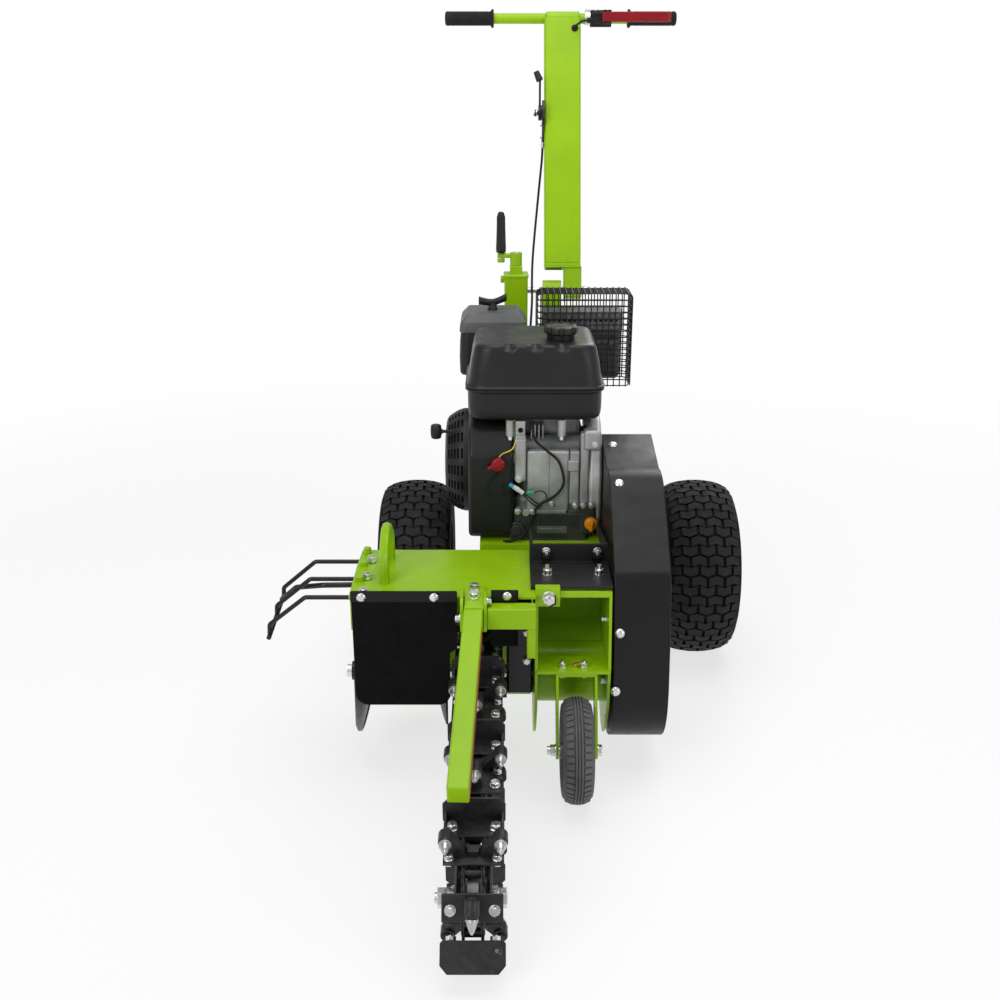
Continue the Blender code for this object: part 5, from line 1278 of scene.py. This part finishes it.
class TRENCHER_OT_crankcase(bpy.types.Operator):
    """Aluminium crankcase with its flanges, bosses, bolts, tag and dipstick"""

    bl_idname = "trencher.crankcase"
    bl_label = "Crankcase"

    def execute(self, context):
        dressed("engine_block", "grey_cast", 0.0012)
        dressed("side_cover", "bright_cast", 0.002)
        self.front()
        self.sump()
        self.bolts()
        self.oil_knob()
        return {"FINISHED"}

    def front(self):
        """The panels, flanges and bosses of the crankcase's front."""
        bm = bmesh.new()
        each(block, bm, (
            (28.5, 117.5, 38.5, 60, 432, 566, 6, 3), (71.5, 75.5, 36.8, 42, 446, 560, 1.4, 2),
            (3, 27, 36, 60, 500, 592, 4, 3)))
        plate(bm, "Y", [(3, 588), (27, 588), (24, 604), (6, 604)], 37, 60, 2, 2)
        each(block, bm, (
            (4.5, 25, 36, 62, 600, 630.6, 3, 2), (118, 138, 36, 60, 449, 566, 3.5, 3),
            (114, 137, 32, 48, 523, 547, 3, 2), (139.5, 157.5, 38, 60, 452, 604, 3.5, 3),
            (146, 181, 31, 62, 568, 612, 7, 4), (30, 112, 36.5, 46, 428, 436, 1.5, 2)))
        for x, y in ((-6.5, 50), (100, 52)):
            bar(bm, (x, y, 596), (x, y, 630.6), 9, 28, None, 1)
        for x in (130.5, 147, 164):
            bar(bm, (x, 29, 449.5), (x, 48, 449.5), 7.2, 24, None, 1)
        for x, z in ((10, 434), (27, 431), (41, 434)):
            bar(bm, (x, 33, z), (x, 48, z), 7.4, 22, None, 1)
        bar(bm, (12, 34, 507), (12, 48, 507), 9, 24, None, 1)
        for x in (36, 44, 52, 60):
            block(bm, x, x + 3, 60, 280, 586, 616, 1, 1)
        piece("crankcase_front", bm, "cast", "frame", sharp=45)

    def sump(self):
        """The darker foot of the crankcase with its drain boss, and the bare tag on it."""
        bm = bmesh.new()
        each(block, bm, ((-4, 158, 40, 62, 357, 430, 7, 3), (20, 158, 36.5, 44, 357, 372, 2.5, 2)))
        bar(bm, (6, 33, 391), (6, 60, 391), 19, 36, None, 2.5)
        bar(bm, (6, 30, 391), (6, 34, 391), 12, 28, None, 1.5)
        each(block, bm, (
            (-10, 34, -1, 15.6, 335, 353.4, 2.5, 2), (140, 176, 36, 60, 380, 444, 8, 3),
            (30, 58, 38.4, 42, 404, 426, 2, 2)))
        piece("sump", bm, "dark_cast", "frame", sharp=45)
        bm = bmesh.new()
        block(bm, 51, 115, 38.2, 41, 383, 399, 1, 2)
        for x in (54, 112):
            bar(bm, (x, 38.4, 391), (x, 37.2, 391), 1.5, 14, 1.1)
        block(bm, 58, 108, 37.6, 38.6, 387.5, 394.5, 0.8, 1)
        piece("bare_tag", bm, "grey_cast", "frame")

    def bolts(self):
        """A dark disc of painted shade where the lifting lug's hole is, and the bolts of the crankcase."""
        bm = bmesh.new()
        # painted shade: a dark disc standing for the lug's hole
        bar(bm, (14.8, 35.2, 612), (14.8, 36.6, 612), 5.4, 24)
        piece("boss_hole_shade", bm, "painted_shade_rubber", "frame")
        bm = bmesh.new()
        nut(bm, (12, 34, 507), (0, -1, 0), 12, 6)
        for x in (130.5, 147, 164):
            nut(bm, (x, 29, 449.5), (0, -1, 0), 9, 5)
        for x, z in ((10, 434), (41, 434), (81, 451)):
            nut(bm, (x, 33 if x < 60 else 37, z), (0, -1, 0), 9, 5)
        for x in (-6.5, 100):
            nut(bm, (x, 50, 596), (0, 0, -1), 11, 7)
        nut(bm, (168, 31, 583), (0, -1, 0), 10, 6)
        nut(bm, (12, 7, 335), (0, 0, -1), 13, 7)
        piece("engine_bolts", bm, "steel", "frame")

    def oil_knob(self):
        """The dipstick's orange knob with a grip bar across its face."""
        bm = bmesh.new()
        grip = [(0, -0.7), (8.2, -0.7), (8.4, -5), (13, -5), (14, -6.2), (14, -15), (12.4, -18.4), (9, -19.8),
                (0, -20)]
        turning(bm, "Y", grip, (164.5, 44.8, 407), 36)
        verts = block(bm, 161.7, 167.3, 14.2, 27, 395.5, 418.5, 1.8, 2)
        rotated(bm, verts, (164.5, 20, 407), "Y", 0.12)
        piece("dipstick_knob", bm, "orange", "oil_dipstick", ["dipstick"], sharp=45)


class TRENCHER_OT_wiring(bpy.types.Operator):
    """Engine wiring: the switch wires, plugs and the black lead across the crankcase"""

    bl_idname = "trencher.wiring"
    bl_label = "Wiring"

    def execute(self, context):
        bm = bmesh.new()
        lead = [(38, 40, 622), (40, 33, 611), (47, 30, 590), (68, 30, 570.6), (92, 30, 549), (103, 29, 521),
                (105, 29, 498), (95, 29, 478.6), (78, 30, 463.6), (62, 31, 455), (49, 31, 443), (43, 31, 425),
                (31, 30, 399.4), (19, 26, 381), (4, 24, 373.8), (-12, 24, 371), (-20, 34, 366)]
        tube(bm, flowing(lead, 5), 2.7, 3)
        for path, r in (
            ([(-29.5, 24, 530), (-31, 25, 522), (-49.5, 25.6, 502), (-54, 26, 484), (-44, 26, 473),
              (-18, 26, 474.5), (-6, 26, 480)], 1.5),
            ([(-2, 26, 494), (-14, 26, 499), (-22, 26, 494), (-20, 26, 482), (-6, 25, 477)], 1.5),
            ([(43, 26, 478.6), (58, 27, 483), (68, 29, 475), (71, 33, 463)], 1.3),
            ([(20, 26, 478), (34, 27, 468), (48, 29, 456), (60, 33, 446)], 1.4),
            ([(20, 26, 475), (32, 27, 462), (42, 29, 452), (56, 33, 441)], 1.4),
        ):
            tube(bm, flowing(path, 5), r, 2)
        piece("black_leads", bm, "cable_sheath", "frame", sharp=60)
        bm = bmesh.new()
        lead = [(-29.5, 22, 556), (-27, 25, 560), (-21, 27, 564.5), (-8, 30, 569), (0, 33, 575), (4, 38, 586)]
        tube(bm, flowing(lead, 5), 1.5, 2)
        piece("yellow_lead", bm, "yellow_wire", "frame", sharp=60)
        for name, start, end, r in (
            ("blue_plug", (-8, 26, 498), (1, 26, 492), 4.2),
            ("clear_plug", (0.5, 26, 493), (21, 26, 478), 4.8),
            ("green_plug", (28, 26, 479.4), (43, 26, 479), 3.4),
        ):
            bm = bmesh.new()
            bar(bm, start, end, r, 12, None, 0.8)
            heart = Vector(start).lerp(Vector(end), 0.5)
            bar(bm, Vector(start).lerp(heart, 0.6), heart, r + 0.7, 12, None, 0.4)
            piece(name, bm, name, "frame", sharp=50)
        return {"FINISHED"}


# Handle, depth jack and deck


def along_mast(distance, drop):
    """A place on the mast's line up from its hinge, or the drop in front of that line."""
    return Vector((MAST_X, FOLD[0] + math.sin(LEAN) * distance - math.cos(LEAN) * drop,
                   FOLD[1] + math.cos(LEAN) * distance + math.sin(LEAN) * drop))


class TRENCHER_OT_handle(bpy.types.Operator):
    """Folding mast with its T bar, ribbed grips, safety lever and stop cable"""

    bl_idname = "trencher.handle"
    bl_label = "Handle"

    def execute(self, context):
        dressed("mast", "green", 0.0012)
        bm = bmesh.new()
        bar(bm, (MAST_X - 41, *BAR), (MAST_X - 37.6, *BAR), 18.4, 32, 15)
        bar(bm, (MAST_X + 37.6, *BAR), (MAST_X + 41, *BAR), 15, 32, 18.4)
        seam = [along_mast(54, 24.4) + Vector((x, 0, 0)) for x in range(-44, 47, 3)]
        tube(bm, [p + Vector((0, 0, 0.7 * math.sin(i * 2.1))) for i, p in enumerate(seam)], 1.9, 2)
        piece("mast_welds", bm, "green", "handle", sharp=60)
        for name, end, inward in (("left", -165.0, 1), ("right", 413.0, -1)):
            self.grip(name, end, inward)
        bm = bmesh.new()
        centre = along_mast(MAST_LENGTH - 33, 24.5) + Vector((30, 0, 0))
        out = Vector((0, -math.cos(LEAN), math.sin(LEAN)))
        bar(bm, centre - out * 2, centre + out * 1.6, 8.4, 28, None, 0.8)
        bar(bm, centre + out * 1.2, centre + out * 5, 5, 24, 4)
        piece("grommet", bm, "grip_rubber", "handle")
        painted("stop_cable", "cable_sheath")
        self.clamp()
        self.lever()
        painted("hinge_pin", "steel")
        bm = bmesh.new()
        nut(bm, (187, *FOLD), (1, 0, 0), 16, 8)
        piece("fold_nut", bm, "steel", "frame")
        return {"FINISHED"}

    def grip(self, name, end, inward):
        """Ribbed rubber: rings between a smooth nose and a flange."""
        cap = 2.0 if inward == 1 else 4.0
        profile = [(0, 0.2), (10, 0.2), (14, 1), (16.6, 4), (17.3, 8), (16.6, 12)]
        at = 15.0
        while at < 106:
            profile += [(16.2, at), (17.3, at + 0.9), (17.3, at + 2.9), (16.2, at + 3.8)]
            at += 5.2
        profile += [(16.8, 112), (17.6, 114.6), (21, 116), (22, 117.6), (22, 120.6), (20.8, 122), (13, 122),
                    (13, cap), (0, cap)]
        bm = bmesh.new()
        turning(bm, "X", [(r, inward * t) for r, t in profile], (end, *BAR), 40)
        piece(f"{name}_grip_ribbed", bm, "grip_rubber", "handle", [f"{name}_grip"], sharp=40)

    def clamp(self):
        y, z = BAR
        dressed("lever_clamp", "grip_rubber", 0.001)
        bm = bmesh.new()
        bar(bm, (184, y, z), (198, y, z), 16.4, 32, None, 1.2)
        block(bm, 186.5, 195.5, y - 7, y + 7, z + 13, z + 19, 1.2, 2)
        for x in (190.5, 211):
            nut(bm, (x, y - 2, z + 16), (0, 0, 1), 10, 3.6)
        bar(bm, (236, y - 50, z + 17), (236, y - 50, z + 19.6), 5.2, 20, 4)
        piece("clamp_steel", bm, "steel", "handle")
        bm = bmesh.new()
        nut(bm, (204.4, y - 40, z - 6), (-1, 0, 0), 9, 4, washer=False)
        bar(bm, (200.2, y - 40, z - 6), (191.4, y - 40, z - 6), 3.2, 18, 2.9)
        piece("cable_nut", bm, "brass", "handle")

    def lever(self):
        y, z = BAR[0] - 44, BAR[1]
        blade = [(224, y - 13.6), (222.6, y - 6), (224, y + 1), (251, y + 1), (266, y - 0.6), (290, y - 4.2),
                 (384, y - 4.2), (391, y - 6.6), (394, y - 11), (391, y - 15.6), (384, y - 17.8),
                 (290, y - 17.8), (272, y - 17), (256, y - 15.8)]
        bm = bmesh.new()
        plate(bm, "Z", blade, z - 10, z + 14, 3, 4)
        piece("safety_lever_blade", bm, "red", "safety", ["safety_lever"], sharp=45)


class TRENCHER_OT_throttle(bpy.types.Operator):
    """Throttle quadrant, lever and its cable down to the engine"""

    bl_idname = "trencher.throttle"
    bl_label = "Throttle"

    def execute(self, context):
        face = MAST_X - 45.3
        _, y, z = along_mast(435, 24)
        dressed("throttle_base", "dark_steel", 0.0006)
        dressed("throttle_lever", "engine_plastic", 0.0012)
        bm = bmesh.new()
        bar(bm, (face - 20, y, z), (face - 25.8, y, z), 3.4, 18, 3)
        nut(bm, (face - 19.4, y, z), (-1, 0, 0), 14, 6)
        for dy, dz in ((-6, -28), (2, -58)):
            nut(bm, (face - 6, y + dy, z + dz), (-1, 0, 0), 7, 3)
        piece("quadrant_nut", bm, "steel", "handle")
        route = [(face - 4, y - 5, z - 82), (77, 776, 1094), (71.5, 762, 1040), (65, 744, 975),
                 (58.5, 722, 908), (54, 696, 854), (52, 650, 813), (51, 590, 781), (48, 530, 757),
                 (44.5, 470, 735), (42, 425, 710), (40, 396, 670), (40, 392, 632)]
        bm = bmesh.new()
        tube(bm, flowing(route, 6), 2.9, 4)
        cable = piece(
            "throttle_cable_sheath", bm, "cable_sheath", None, ["throttle_cable"], sharp=60)
        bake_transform(cable)
        bm = bmesh.new()
        bar(bm, (face - 4, y - 4.2, z - 71), (face - 4, y - 5, z - 83), 4.6, 20, 4.2)
        bar(bm, (face - 4, y - 4, z - 60), (face - 4, y - 4.2, z - 70.6), 3.6, 18)
        piece("cable_ferrule", bm, "steel", "handle")
        return {"FINISHED"}


class TRENCHER_OT_depth_jack(bpy.types.Operator):
    """Depth jack: square outer tube, crank arm and turned grip"""

    bl_idname = "trencher.depth_jack"
    bl_label = "Depth jack"

    def execute(self, context):
        dressed("jack_outer", "green")
        dressed("crank_arm", "green")
        painted("jack_inner", "steel")
        bm = bmesh.new()
        profile = [(0, 100), (4.4, 100), (6.6, 98.6), (8.2, 95), (9, 91.6), (10.4, 88), (10.9, 60),
                   (11.8, 30), (12.5, 12), (12.3, 5), (11, 1), (9.4, 0.2), (6.2, 0.2), (6.2, 88), (0, 88)]
        turning(bm, "Z", profile, (*CRANK_GRIP, 881), 40)
        piece(
            "crank_grip_turned", bm, "engine_plastic", "depth_crank_grip", ["crank_grip"], sharp=50)
        bm = bmesh.new()
        nut(bm, (*CRANK_GRIP, 869), (0, 0, -1), 15, 8)
        bar(bm, (12.5, 673, 879.4), (12.5, 673, 883.4), 8, 24, 6)
        piece("crank_nut", bm, "steel", "depth_crank")
        return {"FINISHED"}


class TRENCHER_OT_deck(bpy.types.Operator):
    """Frame, auger housing, belt guard, flaps, spoil guard and engine mount with their bolts"""

    bl_idname = "trencher.deck"
    bl_label = "Deck and guards"

    def execute(self, context):
        for node in ("main_frame", "carriage", "fork_box", "auger_housing"):
            dressed(node, "green")
        dressed("engine_mount", "satin_black", 0.0016)
        painted("drive_belt", "flap_rubber")
        self.belt_guard()
        self.flaps()
        self.spoil_guard()
        for node in ("driven_pulley", "engine_pulley"):
            painted(node, "grey_cast")
        self.bolts()
        self.engine_mount()
        return {"FINISHED"}

    def bolts(self):
        """The bolts of the lift loop, the flaps, the belt guard and the fork box."""
        bm = bmesh.new()
        for y in (-152, -235, -305):
            stud(bm, (-280, y, 400), (0, 0, 1), 15, 8, 4)
        for x, z in ((-282, 400.5), (-148.4, 400.5), (-14.7, 403)):
            dome(bm, (x, -324.6, z), (0, -1, 0), 9, 4.4)
        for (x, y, z), (dy, dz) in (
            ((207.4, 52.2, 575.7), (-0.2, 0.98)), ((205, -114.8, 549.7), (-0.51, 0.86)),
            ((197.2, -302.2, 316.5), (-0.97, 0.23)), ((191, -320, 203.8), (-0.99, 0.14)),
        ):
            dome(bm, (x, y, z), (0, dy, dz), 9.5, 5)
        for x, z in ((-2, 300), (24, 300), (24, 240)):
            nut(bm, (x, -262.4, z), (0, -1, 0), 12, 7)
        piece("deck_bolts", bm, "steel", "frame")

    def engine_mount(self):
        """The mount's bolts in their slots, dark plates of painted shade in the slots, and the tab of the
        adjusting bolt.
        """
        bm = bmesh.new()
        mounts = (62.5, 161.5)
        for x in mounts:
            stud(bm, (x, -169.4, 428), (0, -1, 0), 14, 8, 6)
            stud(bm, (x, -228, 405.4), (0, 0, 1), 17, 9, 9)
        stud(bm, (63, -301.6, 391), (0, -1, 0), 20, 13, 8)
        piece("mount_bolts", bm, "steel", "frame")
        # dark plates in the slots: painted shade
        bm = bmesh.new()
        for x in mounts:
            slot = [(x + 12 * math.cos(a) * 0.8, 421 + 10 * math.sin(a) + (8 if math.sin(a) > 0 else -8))
                    for a in (2 * math.pi * (k + 0.5) / 24 for k in range(24))]
            plate(bm, "Y", slot, -168.9, -167.4)
        piece("mount_slot_shade", bm, "painted_shade_rubber", "frame")
        bm = bmesh.new()
        block(bm, 38, 84, -301.4, -282, 371, 408, 1.2, 2)
        block(bm, 84.4, 177, -288, -283, 383, 396, 1, 1)
        plate(bm, "X", [(-103, 252), (-103, 243), (-150, 222), (-154, 228), (-112, 246)], 43.4, 176.8)
        piece("adjuster_tab", bm, "green", "frame")

    def belt_guard(self):
        """The folded belt guard: an outline pushed out to its depth, hollowed from the engine side."""
        outline = [(98, 585), *turn_points(-70, 455, 105, 75, 140, 9),
                   *turn_points(-180, 358, 110, 140, 172, 6), (-306, 300), (-319, 200),
                   *turn_points(*DRIVE, 126.5, 186, 275, 16), (-84, 62), (228, 400), (258, 486), (252, 520),
                   (236, 540), (196, 553)]
        bm = bmesh.new()
        plate(bm, "X", outline, 186.5, 292.5, 2.2, 3)
        open_side = [f for f in bm.faces if f.normal.x < -0.99]
        bmesh.ops.inset_region(bm, faces=open_side, thickness=3 * MM, depth=-100 * MM, use_boundary=True,
                               use_even_offset=True)
        piece("belt_guard_folded", bm, "black", "frame", ["belt_guard"], sharp=34)
        bm = bmesh.new()
        plate(bm, "X", outline, 187, 190)
        centre = spot(188, -40, 330)
        bmesh.ops.scale(bm, vec=(1, 0.984, 0.986), space=Matrix.Translation(-centre), verts=bm.verts)
        piece("guard_back_plate", bm, "black", "frame", ["guard_back"])

    def flaps(self):
        """Rubber flaps hung from the deck's front edge under a clamp strip."""
        bm = bmesh.new()
        front = [(-301, 411), (-300, 196), (-296, 186), (-286, 178), (-278, 176), (-140, 176), (-128, 181),
                 (-121, 194), (-121, 285), (-107, 296), (-107, 411)]
        plate(bm, "Y", front, -322.4, -317.6, 0.8, 2)
        piece("front_flap_rubber", bm, "flap_rubber", "frame", ["front_flap"])
        bm = bmesh.new()
        plate(bm, "Y", [(-302, 412), (-302, 391), (-106, 391), (-106, 412)], -324.6, -322.2, 0.7, 2)
        plate(bm, "Y", [(-44, 414), (-44, 399), (-38, 392), (4, 392), (4, 414)], -324.6, -322.2, 0.7, 2)
        piece("flap_strip", bm, "black", "frame")
        bm = bmesh.new()
        plate(bm, "Y", [(-44, 413), (-44, 300), (6, 300), (6, 413)], -322.2, -317.4, 0.8, 2)
        piece("small_flap_rubber", bm, "flap_rubber", "frame", ["small_flap"])

    def spoil_guard(self):
        """Three bent rods from the deck's edge, joined at their lower ends, and a brace under them."""
        bm = bmesh.new()
        for y, z, out in ((-115, 383, -465), (-185, 376, -467), (-255, 369, -469)):
            path = [(-302, y, z), (-397, y, z), (out + 1, y, z - 57), (out, y, z - 79)]
            tube(bm, bent(path, 10, 5), 4.4, 4)
        tube(bm, [(-465.4, -104, 309), (-469, -266, 289)], 4.6, 4)
        brace = [(-302, -190, 366), (-372, -190, 365), (-430, -160, 347), (-464.5, -140, 311)]
        tube(bm, bent(brace, 14, 5), 5.4, 4)
        piece("spoil_rods", bm, "gloss_black", "frame", ["spoil_guard"], sharp=60)


CLASSES = (
    TrencherColours, TrencherSizes, TRENCHER_OT_stage, TRENCHER_OT_ground_wheels, TRENCHER_OT_jockey_wheel,
    TRENCHER_OT_digging_chain, TRENCHER_OT_boom, TRENCHER_OT_tank, TRENCHER_OT_air_filter,
    TRENCHER_OT_muffler, TRENCHER_OT_blower, TRENCHER_OT_crankcase, TRENCHER_OT_wiring, TRENCHER_OT_handle,
    TRENCHER_OT_throttle, TRENCHER_OT_depth_jack, TRENCHER_OT_deck,
)
STEPS = [made for made in CLASSES if issubclass(made, bpy.types.Operator)]


class TRENCHER_PT_panel(bpy.types.Panel):
    bl_idname = "TRENCHER_PT_panel"
    bl_label = "Petrol trencher"
    bl_space_type = "VIEW_3D"
    bl_region_type = "UI"
    bl_category = "Trencher"

    def draw(self, context):
        layout = self.layout
        for group in (context.scene.trencher_colours, context.scene.trencher_sizes):
            column = layout.column(align=True)
            for name in group.__annotations__:
                column.prop(group, name)
        column = layout.column(align=True)
        for made in STEPS:
            column.operator(made.bl_idname)


def register():
    for made in (*CLASSES, TRENCHER_PT_panel):
        bpy.utils.register_class(made)
    bpy.types.Scene.trencher_colours = bpy.props.PointerProperty(type=TrencherColours)
    bpy.types.Scene.trencher_sizes = bpy.props.PointerProperty(type=TrencherSizes)


def unregister():
    del bpy.types.Scene.trencher_sizes
    del bpy.types.Scene.trencher_colours
    for made in reversed((*CLASSES, TRENCHER_PT_panel)):
        bpy.utils.unregister_class(made)


def main():
    register()
    make_finishes()
    for made in STEPS:
        area, name = made.bl_idname.split(".")
        getattr(getattr(bpy.ops, area), name)()
    bpy.context.view_layer.update()


if __name__ == "__main__":
    main()
